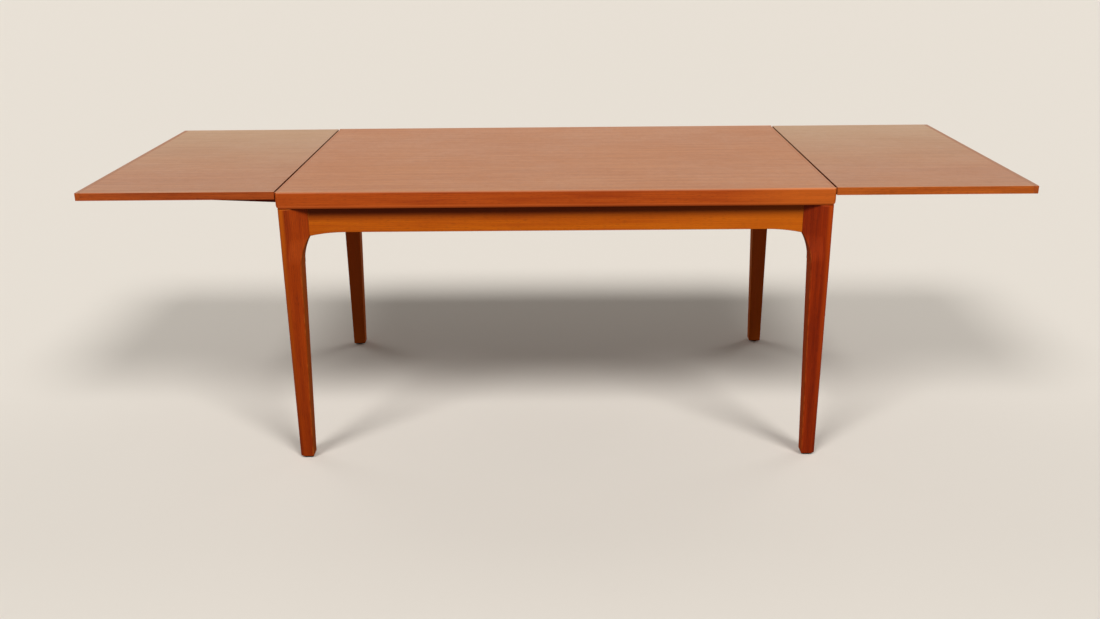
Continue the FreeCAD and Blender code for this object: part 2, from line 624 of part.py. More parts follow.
def make_top():
    """The lift-off top: a veneered board, deep lips on its long sides, thin bands on its ends."""
    lower_radius = tangent_radius("Sizes.lip_undercut", "Sizes.lip_undercut_rise")
    plan = box(both_sides(HALF_LENGTH), both_sides(HALF_WIDTH), (LIP_BOTTOM, HEIGHT))
    doc.recompute()
    upright = [
        (index, number("Sizes.plan_corner_radius"), number("Sizes.plan_corner_radius"))
        for index, edge in enumerate(plan.Shape.Edges, start=1)
        if abs(edge.Vertexes[0].Z - edge.Vertexes[1].Z) > 1
    ]
    rounded_plan = doc.addObject("Part::Fillet", "RoundedPlan")
    rounded_plan.Base = plan
    rounded_plan.Edges = upright
    for depth, sign in DEPTHS.items():
        profile = [
            (LIP_INSIDE, LIP_BOTTOM),
            (f"{HALF_WIDTH} - Sizes.lip_undercut", LIP_BOTTOM, lower_radius, sign),
            (HALF_WIDTH, f"{LIP_BOTTOM} + Sizes.lip_undercut_rise"),
            (HALF_WIDTH, f"{HEIGHT} - Sizes.edge_round", "Sizes.edge_round", sign),
            (f"{HALF_WIDTH} - Sizes.edge_round", HEIGHT),
            (LIP_INSIDE, HEIGHT),
        ]
        corners = [(f"{sign} * ({corner[0]})", *corner[1:]) for corner in profile]
        lip = doc.addObject("Part::MultiCommon", "LipRounded")
        lip.Shapes = [body_from_outline(corners, "YZ_Plane", "Sizes.top_length", "Lip"), rounded_plan]
        as_node(f"top_lip_{depth}", lip)
    band_inside = f"({HALF_LENGTH} - Sizes.end_band_width)"
    for side, sign in SIDES.items():
        profile = [
            (band_inside, TOP_UNDERSIDE),
            (HALF_LENGTH, TOP_UNDERSIDE),
            (HALF_LENGTH, f"{HEIGHT} - Sizes.edge_round", "Sizes.edge_round", sign),
            (f"{HALF_LENGTH} - Sizes.edge_round", HEIGHT),
            (band_inside, HEIGHT),
        ]
        corners = [(f"{sign} * ({corner[0]})", *corner[1:]) for corner in profile]
        band = body_from_outline(corners, "XZ_Plane", f"2 * {LIP_INSIDE}", "EndBand")
        as_node(f"top_end_band_{side}", band)
    board = box(both_sides(band_inside), both_sides(LIP_INSIDE), (TOP_UNDERSIDE, HEIGHT))
    sockets, dowels = [], []
    for depth in DEPTHS.values():
        centre = "0", f"{depth} * Sizes.dowel_offset"
        sockets.append(cylinder(
            "Sizes.dowel_radius + Sizes.fit_gap", "Sizes.dowel_socket + Sizes.fit_gap",
            *centre, TOP_UNDERSIDE,
        ))
        tip = f"({TOP_UNDERSIDE} - Sizes.dowel_drop)"
        point = doc.addObject("Part::Cone", "DowelPoint")
        point.setExpression("Radius1", "Sizes.dowel_radius - Sizes.dowel_chamfer")
        point.setExpression("Radius2", "Sizes.dowel_radius")
        point.setExpression("Height", "Sizes.dowel_chamfer")
        place(point, *centre, tip)
        shaft = cylinder(
            "Sizes.dowel_radius", "Sizes.dowel_drop + Sizes.dowel_socket - Sizes.dowel_chamfer",
            *centre, f"{tip} + Sizes.dowel_chamfer",
        )
        dowels.append(fuse([point, shaft], "Dowel"))
    as_node("top_board", cut(board, sockets, "TopBoardBored"))
    as_node("guide_dowels", group(dowels))


def make_runner(side, sign, depth, depth_sign):
    """A tapered runner: a level-sided bar inside the frame, rising to a shoulder under the leaf."""
    shoulder = f"({LEAF_START} + Sizes.runner_shoulder_setback)"
    outline = [
        (RUNNER_TAIL_X, runner_line(RUNNER_TAIL_X)),
        (RUNNER_END_X, runner_line(RUNNER_END_X)),
        (RUNNER_END_X, LEAF_UNDERSIDE),
        (shoulder, LEAF_UNDERSIDE),
        (shoulder, f"{runner_line(shoulder)} + Sizes.runner_bar_height"),
        (RUNNER_TAIL_X, f"{runner_line(RUNNER_TAIL_X)} + Sizes.runner_bar_height"),
    ]
    corners = [(f"{sign} * {x}", z) for x, z in outline]
    body = body_from_outline(corners, "XZ_Plane", "Sizes.runner_thickness", "Runner")
    middle = f"{depth_sign} * {runner_offset(side)}"
    place(body, "0", middle, "0")
    peg_length = "(Sizes.runner_thickness + 2 * Sizes.peg_reach)"
    peg_z = f"{runner_line(PEG_X)} + Sizes.runner_bar_height / 2"
    peg_at = f"{sign} * {PEG_X}", f"{middle} - {peg_length} / 2", peg_z
    along_y = FreeCAD.Vector(0, 1, 0)
    tools = [cylinder("Sizes.peg_radius + Sizes.fit_gap", peg_length, *peg_at, along_y)]
    for x in runner_screws_x():
        seat = f"({LEAF_UNDERSIDE} + Sizes.screw_bite - Sizes.screw_length)"
        open_depth = f"({seat} - {runner_line(x)} + Sizes.screw_head_radius)"
        tools += screw_hole((0, 0, 1), f"{sign} * {x}", middle, seat, open_depth)
    as_node(f"runner_{depth}_{side}", cut(body, tools, "RunnerBored"))
    return cylinder("Sizes.peg_radius", peg_length, *peg_at, along_y, name="Peg")


def runner_screws_x():
    """Three screws along the leaf, evenly spaced between its inner edge and the runner's end."""
    return [f"({LEAF_START} + ({RUNNER_END_X} - {LEAF_START}) * {share} / 6)" for share in (1, 3, 5)]


def make_leaf(side, sign):
    """A leaf: veneered board with solid lippings, on two runners with stop pegs at their tails."""
    leaf_height = (LEAF_UNDERSIDE, HEIGHT)
    board_end = f"({LEAF_END} - Sizes.leaf_end_lipping)"
    board_side = f"({LEAF_HALF_WIDTH} - Sizes.leaf_side_lipping)"
    pegs, screws, screw_holes = [], [], []
    for depth, depth_sign in DEPTHS.items():
        pegs.append(make_runner(side, sign, depth, depth_sign))
        for x in runner_screws_x():
            seat = (
                f"{sign} * {x}", f"{depth_sign} * {runner_offset(side)}",
                f"({LEAF_UNDERSIDE} + Sizes.screw_bite - Sizes.screw_length)",
            )
            screws.append(screw_along((0, 0, 1), *seat))
            screw_holes += screw_hole((0, 0, 1), *seat, "Sizes.screw_head_height")
        lipping = box(
            mirrored(sign, LEAF_START, board_end),
            mirrored(depth_sign, board_side, LEAF_HALF_WIDTH),
            leaf_height,
        )
        as_node(f"leaf_{depth}_lipping_{side}", lipping)
    board = box(mirrored(sign, LEAF_START, board_end), both_sides(board_side), leaf_height)
    as_node(f"leaf_board_{side}", cut(board, screw_holes, "LeafBoardBored"))
    end = box(mirrored(sign, board_end, LEAF_END), both_sides(LEAF_HALF_WIDTH), leaf_height)
    as_node(f"leaf_end_lipping_{side}", end)
    as_node(f"runner_screws_{side}", group(screws))
    as_node(f"stop_pegs_{side}", group(pegs))


def check_and_write():
    """Refuse a failed or empty piece, then write each named piece to its own file."""
    doc.recompute()
    for piece in doc.Objects:
        if "Invalid" in piece.State or "Error" in piece.State:
            raise RuntimeError(f"{piece.Name} ({piece.Label}) failed: {piece.State}")
    for piece in nodes:
        if piece.Shape.isNull() or not piece.Shape.isValid() or not piece.Shape.Solids:
            raise RuntimeError(f"{piece.Label} has no valid shape")
    os.makedirs("parts", exist_ok=True)
    for piece in nodes:
        piece.Shape.exportStep(f"parts/{piece.Label}.step")
        count = len(piece.Shape.Solids)
        print(f"{piece.Label}: {count} solid(s), {piece.Shape.Volume / 1000:.1f} cm3")


make_legs_and_glides()
make_aprons()
make_end_rails()
make_cross_bearers()
make_centre_board()
make_corner_blocks()
make_top()
for leaf_side, leaf_sign in SIDES.items():
    make_leaf(leaf_side, leaf_sign)
check_and_write()
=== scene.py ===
# %% [markdown]
# # A draw leaf table, from bare construction to finished wood
#
# The construction is settled before this lesson starts: forty-one pieces, each at its real size and in
# its real place, in metres, with +X along the table, +Y to its back and +Z up. What is missing is
# everything that the eye lives on. Sawn solids have knife edges and one colour each, while a table that
# people eat at has softened edges, grain that runs the way each board was cut, and a satin skin.
#
# So the lesson goes the way a workshop does: take in the pieces, set up a plain light to judge them by,
# mix the finishes, and then go from piece to piece, from the legs to the screws.

# %% Take in the construction
import json
import math
from types import SimpleNamespace

import bmesh
import bpy
from mathutils import Matrix, Vector


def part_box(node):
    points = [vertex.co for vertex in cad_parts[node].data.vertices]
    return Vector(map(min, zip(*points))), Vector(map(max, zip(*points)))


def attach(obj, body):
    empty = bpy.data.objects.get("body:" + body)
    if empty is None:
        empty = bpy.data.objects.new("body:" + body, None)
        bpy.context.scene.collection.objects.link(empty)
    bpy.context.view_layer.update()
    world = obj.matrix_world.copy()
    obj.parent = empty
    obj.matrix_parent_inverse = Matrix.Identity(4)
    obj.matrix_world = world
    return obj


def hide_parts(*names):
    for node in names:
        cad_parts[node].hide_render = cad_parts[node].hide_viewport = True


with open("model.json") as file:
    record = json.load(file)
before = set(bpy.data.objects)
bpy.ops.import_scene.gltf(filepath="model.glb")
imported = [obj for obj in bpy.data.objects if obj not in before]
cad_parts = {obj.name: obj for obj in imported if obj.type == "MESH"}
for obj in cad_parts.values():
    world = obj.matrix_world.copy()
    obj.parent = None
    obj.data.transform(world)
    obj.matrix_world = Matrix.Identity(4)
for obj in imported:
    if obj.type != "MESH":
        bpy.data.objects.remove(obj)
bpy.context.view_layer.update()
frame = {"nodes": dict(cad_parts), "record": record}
record = frame["record"]
body_of = {node: body for body, nodes in record["behaviour"]["bodies"].items() for node in nodes}
MM = 0.001
QUARTER_TURN = math.radians(90)

# %% [markdown]
# ## The camera
#
# A table reads best from the height of someone who is about to sit down, far enough back that its legs
# don't splay. A camera in Blender looks down its own -Z axis with +Y up, so it is first raised to look
# along the floor, then turned: the heading about the world's Z, the look downwards about its own X, and
# the slight tilt of a hand-held camera about its own Z. Multiplying the three turns in that order keeps
# each of them readable, which a row of Euler angles doesn't.

# %% Place the camera
EYE = Vector((6, -3148, 1366.5)) * MM
HEADING = math.radians(0.456)
LOOK_DOWN = math.radians(19.28)
TILT = math.radians(-0.551)
SENSOR_WIDTH = 36
FOCAL_LENGTH = 36.3

lens = bpy.data.cameras.new("eye")
lens.sensor_width = SENSOR_WIDTH
lens.lens = FOCAL_LENGTH
camera = bpy.data.objects.new("camera", lens)
bpy.context.scene.collection.objects.link(camera)
heading = Matrix.Rotation(HEADING, 4, "Z")
downwards = Matrix.Rotation(QUARTER_TURN - LOOK_DOWN, 4, "X")
camera.matrix_world = Matrix.Translation(EYE) @ heading @ downwards @ Matrix.Rotation(TILT, 4, "Z")
bpy.context.scene.camera = camera
print(f"the camera stands {-EYE.y:.2f} m in front of the table's middle, {EYE.z:.2f} m high")

# %% [markdown]
# ## Helpers for finishes
#
# Blender's materials are trees of nodes. A few small helpers keep them short to write: they add a node
# and fill in its sockets, join sockets in pairs, do one step of arithmetic, mix two colours, and spread
# a range of values. Colours are given the way a paint card gives them and turned into the linear values
# that light is reckoned in.

# %% Colours and nodes
def colour(red, green, blue):
    """A colour from a paint card, 0 to 255, as linear values, by the standard curve of screens."""
    steps = [step / 255 for step in (red, green, blue)]
    linear = [s / 12.92 if s <= 0.04045 else ((s + 0.055) / 1.055) ** 2.4 for s in steps]
    return (*linear, 1.0)


def put(tree, kind, values=None, **settings):
    """Add a node, set its properties, and fill in the sockets that values names."""
    node = tree.nodes.new(kind)
    for name, value in settings.items():
        setattr(node, name, value)
    for name, value in (values or {}).items():
        node.inputs[name].default_value = value
    return node


def wire(tree, *pairs):
    """Join sockets, given as pairs of an output and an input."""
    for source, target in pairs:
        tree.links.new(source, target)


def feed(tree, term, socket):
    """Give a socket a term, which is another node's output or a plain value."""
    if isinstance(term, bpy.types.NodeSocket):
        tree.links.new(term, socket)
    else:
        socket.default_value = term


def new_material(name):
    """An empty material, its tree, and the tree's output node."""
    material = bpy.data.materials.new(name)
    material.use_nodes = True
    material.node_tree.nodes.clear()
    return material, material.node_tree, put(material.node_tree, "ShaderNodeOutputMaterial")


print(f"half way up a paint card is {colour(128, 128, 128)[0]:.2f} of full light")

# %% Arithmetic on masks and colours
# A Mix node has sockets for numbers and vectors too, so those for colours are found by their place.
MIX_COLOUR_INPUTS = (0, 6, 7)
MIX_COLOUR_OUTPUT = 2


def maths(tree, operation, *terms, kind="ShaderNodeMath"):
    """One step of arithmetic, whose terms are numbers or outputs of other nodes."""
    node = put(tree, kind, operation=operation)
    for term, socket in zip(terms, node.inputs):
        feed(tree, term, socket)
    return node.outputs[0]


def vector_maths(tree, operation, *terms):
    """One step of arithmetic on places."""
    return maths(tree, operation, *terms, kind="ShaderNodeVectorMath")


def blend(tree, share, first, second):
    """Mix two colours, each a value or an output: share 0 gives the first and 1 the second."""
    node = put(tree, "ShaderNodeMix", data_type="RGBA")
    for term, place in zip((share, first, second), MIX_COLOUR_INPUTS):
        feed(tree, term, node.inputs[place])
    return node.outputs[MIX_COLOUR_OUTPUT]


def stretch_range(tree, value, low, high, to_low=0.0, to_high=1.0):
    """Spread the values between low and high over a new range, and stop at its ends."""
    limits = {"From Min": low, "From Max": high, "To Min": to_low, "To Max": to_high}
    node = put(tree, "ShaderNodeMapRange", limits)
    tree.links.new(value, node.inputs["Value"])
    return node.outputs["Result"]


# %% [markdown]
# ## Floor and light
#
# Wood is judged in plain soft light. The world gives an even base from every side. Two broad lights come
# from in front, one over each shoulder of whoever looks at the table, so that each leg shows a lit side
# and a darker one, and the deep edge of the top draws its own shadow on the apron. Two weaker ones come
# from behind, off to the sides, where they can't glare in the top. Sun lamps are used, because they
# light a wide floor evenly, and a wide angle keeps their shadows soft. Their levels add up so that a
# colour comes out about as written, and the Standard view shows it without a film look that would grey
# it.
#
# The floor is a wide plain sheet. Seen by the camera it is pale, but so pale a floor would also light the
# table from below and wash out its undersides. A Light Path node tells the rays apart: the camera meets
# the pale colour, while light that bounces or is mirrored meets an ordinary brown floor. From below the
# sheet is see-through, so that the underside can be looked at.

# %% The floor
PALE_FLOOR = colour(226, 219, 209)
BOUNCE_FLOOR = colour(104, 74, 48)
FLOOR_REACH = 40.0


def ray_is(tree, *kinds):
    """1 for rays of the named kinds, 0 for all others."""
    path = put(tree, "ShaderNodeLightPath")
    found = 0.0
    for kind in kinds:
        found = maths(tree, "MAXIMUM", found, path.outputs[f"Is {kind} Ray"])
    return found


def floor_finish():
    """Dull paint on the upper side of the sheet, and nothing on its underside."""
    material, tree, out = new_material("plain_floor")
    tint = blend(tree, ray_is(tree, "Camera", "Transmission"), BOUNCE_FLOOR, PALE_FLOOR)
    paint = put(tree, "ShaderNodeBsdfPrincipled", {"Roughness": 0.8, "Specular IOR Level": 0.2})
    clear = put(tree, "ShaderNodeBsdfTransparent")
    side = put(tree, "ShaderNodeNewGeometry")
    either = put(tree, "ShaderNodeMixShader")
    wire(
        tree,
        (tint, paint.inputs["Base Color"]),
        (side.outputs["Backfacing"], either.inputs["Fac"]),
        (paint.outputs["BSDF"], either.inputs[1]),
        (clear.outputs["BSDF"], either.inputs[2]),
        (either.outputs["Shader"], out.inputs["Surface"]),
    )
    return material


def lay_floor():
    """One large square, which is staged because it isn't part of the table."""
    bm = bmesh.new()
    bmesh.ops.create_grid(bm, x_segments=1, y_segments=1, size=FLOOR_REACH)
    mesh = bpy.data.meshes.new("floor")
    bm.to_mesh(mesh)
    bm.free()
    mesh.materials.append(floor_finish())
    floor = bpy.data.objects.new("floor", mesh)
    bpy.context.scene.collection.objects.link(floor)


lay_floor()
print(f"a floor that reaches {FLOOR_REACH:.0f} m each way")

# %% The world and the lamps
SKY = colour(240, 236, 229)
SKY_LEVEL = 0.17
# Each lamp's name, heading and height above the floor in degrees, strength, and softness in degrees.
LAMPS = (
    ("front_left", -34, 46, 1.55, 20),
    ("front_right", 34, 46, 1.75, 20),
    ("back_left", -130, 30, 0.42, 30),
    ("back_right", 130, 30, 0.42, 30),
)


def light_world():
    """A weak even light from all round, which the camera and mirrors see as the floor's pale colour."""
    world = bpy.data.worlds.new("even room light")
    world.use_nodes = True
    bpy.context.scene.world = world
    tree = world.node_tree
    tree.nodes.clear()
    base = put(tree, "ShaderNodeBackground", {"Color": SKY, "Strength": SKY_LEVEL})
    backdrop = put(tree, "ShaderNodeBackground", {"Color": PALE_FLOOR, "Strength": 1.0})
    either = put(tree, "ShaderNodeMixShader")
    out = put(tree, "ShaderNodeOutputWorld")
    wire(
        tree,
        (ray_is(tree, "Camera", "Glossy", "Transmission"), either.inputs["Fac"]),
        (base.outputs["Background"], either.inputs[1]),
        (backdrop.outputs["Background"], either.inputs[2]),
        (either.outputs["Shader"], out.inputs["Surface"]),
    )


def hang_light(name, heading, height, strength, softness):
    """A broad light that looks at the table from a heading and a height above the floor."""
    lamp = bpy.data.lights.new(name, "SUN")
    lamp.energy = strength
    lamp.angle = math.radians(softness)
    light = bpy.data.objects.new(name, lamp)
    bpy.context.scene.collection.objects.link(light)
    turned = Matrix.Rotation(math.radians(heading), 4, "Z")
    light.matrix_world = turned @ Matrix.Rotation(math.radians(90 - height), 4, "X")


bpy.context.scene.view_settings.view_transform = "Standard"
light_world()
for lamp in LAMPS:
    hang_light(*lamp)
print(f"{len(LAMPS)} lamps over a world at {SKY_LEVEL}")

# %% [markdown]
# ## Wood grain as a node group
#
# Every board in the table shows the same few things at different sizes: long streaks where the fibres
# differ, growth rings that were circles round the heart of the trunk, and pores that a plane has opened
# into short dark dashes. A picture of wood would show them on one face only. Worked out in space they run
# through the board, so that an end shows end grain without being asked.
#
# All woods here share one group, because a fix then reaches all of them. It takes a place in metres with
# X along the grain, and how wide the streaks and rings are, and it gives four masks: streaks, rings,
# pores, and a slow change of tone. Distances along the grain are shortened before anything is drawn,
# which draws everything out lengthways, and a slow sideways sway keeps the lines from looking ruled.

# %% The grain group
ALONG_THE_GRAIN = (0.055, 1.0, 1.0)
PORE_CELLS = (60.0, 1300.0, 1300.0)
STREAK_LIMITS = (0.34, 0.66)
PORE_LIMITS = (0.58, 0.70)
TONE_LIMITS = (0.3, 0.7)
SWAY_SCALE = 6.0
TONE_SCALE = 2.6
RING_EDGE = 3.0
# A Wave texture with a scale of 1 repeats after this many metres.
WAVE_PERIOD = 2 * math.pi / 20


def new_group(name, inputs, outputs):
    """A shader node group with named sockets, each given with its kind."""
    group = bpy.data.node_groups.new(name, "ShaderNodeTree")
    for direction, sockets in (("INPUT", inputs), ("OUTPUT", outputs)):
        for socket, kind in sockets.items():
            group.interface.new_socket(socket, in_out=direction, socket_type="NodeSocket" + kind)
    return group, put(group, "NodeGroupInput").outputs, put(group, "NodeGroupOutput").inputs


def noise(tree, place, scale, detail=3.0, roughness=0.55):
    """Smooth noise round 0.5; scale may be a number or an output."""
    node = put(tree, "ShaderNodeTexNoise", {"Detail": detail, "Roughness": roughness})
    wire(tree, (place, node.inputs["Vector"]))
    feed(tree, scale, node.inputs["Scale"])
    return node.outputs["Fac"]


def build_grain():
    """Draw streaks, rings, pores and tone once, for every wood to use."""
    sizes = {"Vector": "Vector", "Streak Width": "Float", "Ring Width": "Float", "Sway": "Float"}
    masks = {"Streaks": "Float", "Rings": "Float", "Pores": "Float", "Tone": "Float"}
    tree, given, gives = new_group("wood grain", sizes, masks)
    drawn_out = vector_maths(tree, "MULTIPLY", given["Vector"], ALONG_THE_GRAIN)
    slow = put(tree, "ShaderNodeTexNoise", {"Scale": SWAY_SCALE, "Detail": 2.0})
    wire(tree, (drawn_out, slow.inputs["Vector"]))
    centred = vector_maths(tree, "SUBTRACT", slow.outputs["Color"], (0.5, 0.5, 0.5))
    swayed = vector_maths(tree, "MULTIPLY_ADD", centred, given["Sway"], drawn_out)
    fineness = maths(tree, "DIVIDE", 1.0, given["Streak Width"])
    streaks = noise(tree, swayed, fineness, detail=5.0, roughness=0.62)
    rings = put(
        tree, "ShaderNodeTexWave", {"Distortion": 3.0, "Detail": 3.0, "Detail Scale": 0.8},
        wave_type="RINGS", rings_direction="X", wave_profile="SAW",
    )
    cells = vector_maths(tree, "MULTIPLY", given["Vector"], PORE_CELLS)
    pores = noise(tree, cells, 1.0, detail=1.0)
    tone = noise(tree, drawn_out, TONE_SCALE, detail=2.0)
    wire(
        tree,
        (swayed, rings.inputs["Vector"]),
        (maths(tree, "DIVIDE", WAVE_PERIOD, given["Ring Width"]), rings.inputs["Scale"]),
        (maths(tree, "POWER", rings.outputs["Fac"], RING_EDGE), gives["Rings"]),
        (stretch_range(tree, streaks, *STREAK_LIMITS), gives["Streaks"]),
        (stretch_range(tree, pores, *PORE_LIMITS), gives["Pores"]),
        (stretch_range(tree, tone, *TONE_LIMITS), gives["Tone"]),
    )
    return tree


GRAIN = build_grain()
print(f"grain group with {len(GRAIN.nodes)} nodes")

# %% [markdown]
# ## Wear and handling
#
# A lacquered edge wears first where hands and sleeves pass, and it wears in patches. Where a piece's edge
# is rounded, its new faces get a mark called "worn" while the mesh is made. A second mark is painted
# light: faces that look up are turned paler, a painted sheen like the pale reflection on a satin top, and
# on the legs the same mark paints a highlight along the nose and lightens the inner faces. A third mark,
# "tinted", is for faces that differ from the rest of their own board: end grain, which soaks up oil and
# turns dark and is also painted shade in the gap beside it, and the sloping underside of the lip, which
# is painted lighter as if it were lit from below.
#
# The first group below hands on the three marks, with "worn" broken up by noise. The second gives slow
# clouds, for the way a wiped surface is a little duller in one place and a little smoother in another.

# %% The wear and handling groups
PATCH_SCALE = 55.0
PATCH_LIMITS = (0.40, 0.62)
BROAD_CLOUDS = 3.5
FINE_CLOUDS = 38.0
FINE_SHARE = 0.35
CLOUD_LIMITS = (0.38, 0.62)


def build_wear():
    """The three marks of a mesh as masks, the worn one in patches."""
    masks = {"Wear": "Float", "Painted Light": "Float", "Tinted": "Float"}
    tree, given, gives = new_group("wear and daylight", {"Vector": "Vector"}, masks)
    # Of these marks, the second is painted light: a painted sheen on faces that look up, and a painted
    # highlight on legs.
    marks = {
        name: put(tree, "ShaderNodeAttribute", attribute_type="GEOMETRY", attribute_name=name).outputs["Fac"]
        for name in ("worn", "painted_light", "tinted")
    }
    patches = stretch_range(tree, noise(tree, given["Vector"], PATCH_SCALE, detail=4.0), *PATCH_LIMITS)
    wire(
        tree,
        (maths(tree, "MULTIPLY", marks["worn"], patches), gives["Wear"]),
        # painted light, which makes faces paler where sheen and highlights would fall
        (marks["painted_light"], gives["Painted Light"]),
        (marks["tinted"], gives["Tinted"]),
    )
    return tree


def build_handling():
    """Broad clouds with finer ones in them."""
    tree, given, gives = new_group("handling", {"Vector": "Vector"}, {"Clouds": "Float"})
    broad = noise(tree, given["Vector"], BROAD_CLOUDS, detail=4.0, roughness=0.6)
    fine = noise(tree, given["Vector"], FINE_CLOUDS, roughness=0.6)
    both = maths(tree, "MULTIPLY_ADD", fine, FINE_SHARE, maths(tree, "MULTIPLY", broad, 1 - FINE_SHARE))
    wire(tree, (stretch_range(tree, both, *CLOUD_LIMITS), gives["Clouds"]))
    return tree


WEAR = build_wear()
HANDLING = build_handling()
print(f"wear group with {len(WEAR.nodes)} nodes, handling group with {len(HANDLING.nodes)}")

# %% [markdown]
# ## Veneer
#
# The top and the leaves aren't solid boards. They are faced with teak veneer: leaves of wood sliced one
# after another from the same log and laid side by side, each second one turned over like a page, so that
# its figure mirrors its neighbour's. A ping-pong of the place across the grain does exactly that. Each
# veneer leaf also gets a slightly different depth in the log and a slightly different tone.

# %% The veneer group
VENEER_WIDTH = 220 * MM
LOG_STEP = 4 * MM


def build_veneer():
    """Fold the place over at each joint, and number the veneer leaves by chance."""
    sizes = {"Vector": "Vector", "Leaf Width": "Float"}
    tree, given, gives = new_group("veneer leaves", sizes, {"Vector": "Vector", "Leaf": "Float"})
    place = put(tree, "ShaderNodeSeparateXYZ")
    wire(tree, (given["Vector"], place.inputs["Vector"]))
    count = maths(tree, "FLOOR", maths(tree, "DIVIDE", place.outputs["Y"], given["Leaf Width"]))
    lot = put(tree, "ShaderNodeTexWhiteNoise", noise_dimensions="1D")
    turned = put(tree, "ShaderNodeCombineXYZ")
    wire(
        tree,
        (count, lot.inputs["W"]),
        (place.outputs["X"], turned.inputs["X"]),
        (maths(tree, "PINGPONG", place.outputs["Y"], given["Leaf Width"]), turned.inputs["Y"]),
        (maths(tree, "MULTIPLY_ADD", count, LOG_STEP, place.outputs["Z"]), turned.inputs["Z"]),
        (turned.outputs["Vector"], gives["Vector"]),
        (lot.outputs["Value"], gives["Leaf"]),
    )
    return tree


VENEER = build_veneer()
print(f"veneer group with {len(VENEER.nodes)} nodes, for leaves {VENEER_WIDTH / MM:.0f} mm wide")

# %% [markdown]
# ## The woods
#
# One function lays any of the woods: it turns the place so that X runs along the grain, lets the groups
# draw, and stains what they drew, layer over layer. First the grain, then the marks, painted light among
# them, then the painted light and shade that drift along the table, and last the wear, because a rub goes
# through everything under it. A wood is then a short list of colours and sizes. The satin look comes from
# the shader alone, a middling roughness that the handling clouds shift a little, so it stays right under
# any light.

# %% Lay a wood
TURN_TO_GRAIN = {
    "x": (0.0, 0.0, 0.0),
    "y": (0.0, 0.0, -QUARTER_TURN),
    "z": (0.0, QUARTER_TURN, 0.0),
}
LACQUER_IOR = 1.5
GLOSS_RANGE = 0.10
RELIEF_DEPTH = 0.15 * MM
RING_RELIEF = 0.3


def use_group(tree, group, values, place):
    """Place a shared group in a tree and feed it the place."""
    node = put(tree, "ShaderNodeGroup", values, node_tree=group)
    wire(tree, (place, node.inputs["Vector"]))
    return node.outputs


def stain_grain(tree, look, place, light):
    """Draw the grain at a place and colour it. Gives the colour, and the relief to go with it."""
    sizes = {"Streak Width": look.streak, "Ring Width": look.ring, "Sway": look.sway}
    grain = use_group(tree, GRAIN, sizes, place)
    stained = blend(tree, grain["Streaks"], light, look.dark)
    for mask, share, stain in (
        ("Tone", look.tone_share, look.tone),
        ("Rings", look.ring_share, look.late),
        ("Pores", look.pore_share, look.pore),
    ):
        stained = blend(tree, maths(tree, "MULTIPLY", grain[mask], share), stained, stain)
    return stained, maths(tree, "MULTIPLY_ADD", grain["Rings"], RING_RELIEF, grain["Pores"])


def weather(tree, look, here, stained):
    """Lay painted light, the tint and drifting painted light and shade over a board's colour, then its wear.
    """
    marks = use_group(tree, WEAR, {}, here)
    # Painted light first, then the tint, which is partly painted light and shade as well.
    for mark, stain in (("Painted Light", look.bleached), ("Tinted", look.tint)):
        if stain:
            stained = blend(tree, marks[mark], stained, stain)
    axes = put(tree, "ShaderNodeSeparateXYZ")
    wire(tree, (here, axes.inputs["Vector"]))
    # Painted light and shade that drift along the table.
    for shade in look.drifts:
        amount = stretch_range(tree, axes.outputs[shade.axis], shade.start, shade.end, 0.0, shade.share)
        stained = blend(tree, amount, stained, shade.stain)
    return blend(tree, maths(tree, "MULTIPLY", marks["Wear"], look.wear_share), stained, look.bare)


def wood(name, look, along="x", heart=(0.0, 0.0, 0.0), leaf_width=None):
    """A finish for boards whose grain runs along one axis, sawn at some distance from the heart."""
    material, tree, out = new_material(name)
    here = put(tree, "ShaderNodeTexCoord").outputs["Object"]
    turned = put(tree, "ShaderNodeMapping", {"Rotation": TURN_TO_GRAIN[along], "Location": heart})
    wire(tree, (here, turned.inputs["Vector"]))
    place = turned.outputs["Vector"]
    light = look.light
    if leaf_width:
        leaves = use_group(tree, VENEER, {"Leaf Width": leaf_width}, place)
        place = leaves["Vector"]
        light = blend(tree, leaves["Leaf"], look.light, look.other_leaf)
    stained, relief = stain_grain(tree, look, place, light)
    clouds = use_group(tree, HANDLING, {}, here)["Clouds"]
    bump_size = {"Strength": look.relief, "Distance": RELIEF_DEPTH}
    bump = put(tree, "ShaderNodeBump", bump_size, invert=True)
    skin = {"IOR": LACQUER_IOR, "Specular IOR Level": look.sheen}
    surface = put(tree, "ShaderNodeBsdfPrincipled", skin)
    roughness = stretch_range(tree, clouds, 0.0, 1.0, look.gloss, look.gloss + GLOSS_RANGE)
    wire(
        tree,
        (relief, bump.inputs["Height"]),
        (weather(tree, look, here, stained), surface.inputs["Base Color"]),
        (roughness, surface.inputs["Roughness"]),
        (bump.outputs["Normal"], surface.inputs["Normal"]),
        (surface.outputs["BSDF"], out.inputs["Surface"]),
    )
    print(f"{name}: grain along {along}")
    return material


# %% [markdown]
# ## What each wood looks like
#
# No two boards of a real table match, so each kind of piece gets its own list, though the darker left
# and paler right leaf lippings are shaded and lit copies of one wood, painted as if more light came from
# the right. Light, dark and tone are the colours of the fibres, late is that of the growth rings, pore
# that of the open pores, and bare is the wood under worn lacquer. A drift is painted light or shade that
# comes in along one axis of the table. On the aprons it is the painted shadow that the lip casts over
# their upper edge, and on the leaves a painted reflection that makes them paler towards the back. Lips
# and aprons are painted lighter and more golden towards the right end, where the light is stronger, and
# the front left leg is painted darker towards its foot, a painted shade.

# %% A list of colours and sizes
OILED_SHEEN = 0.22


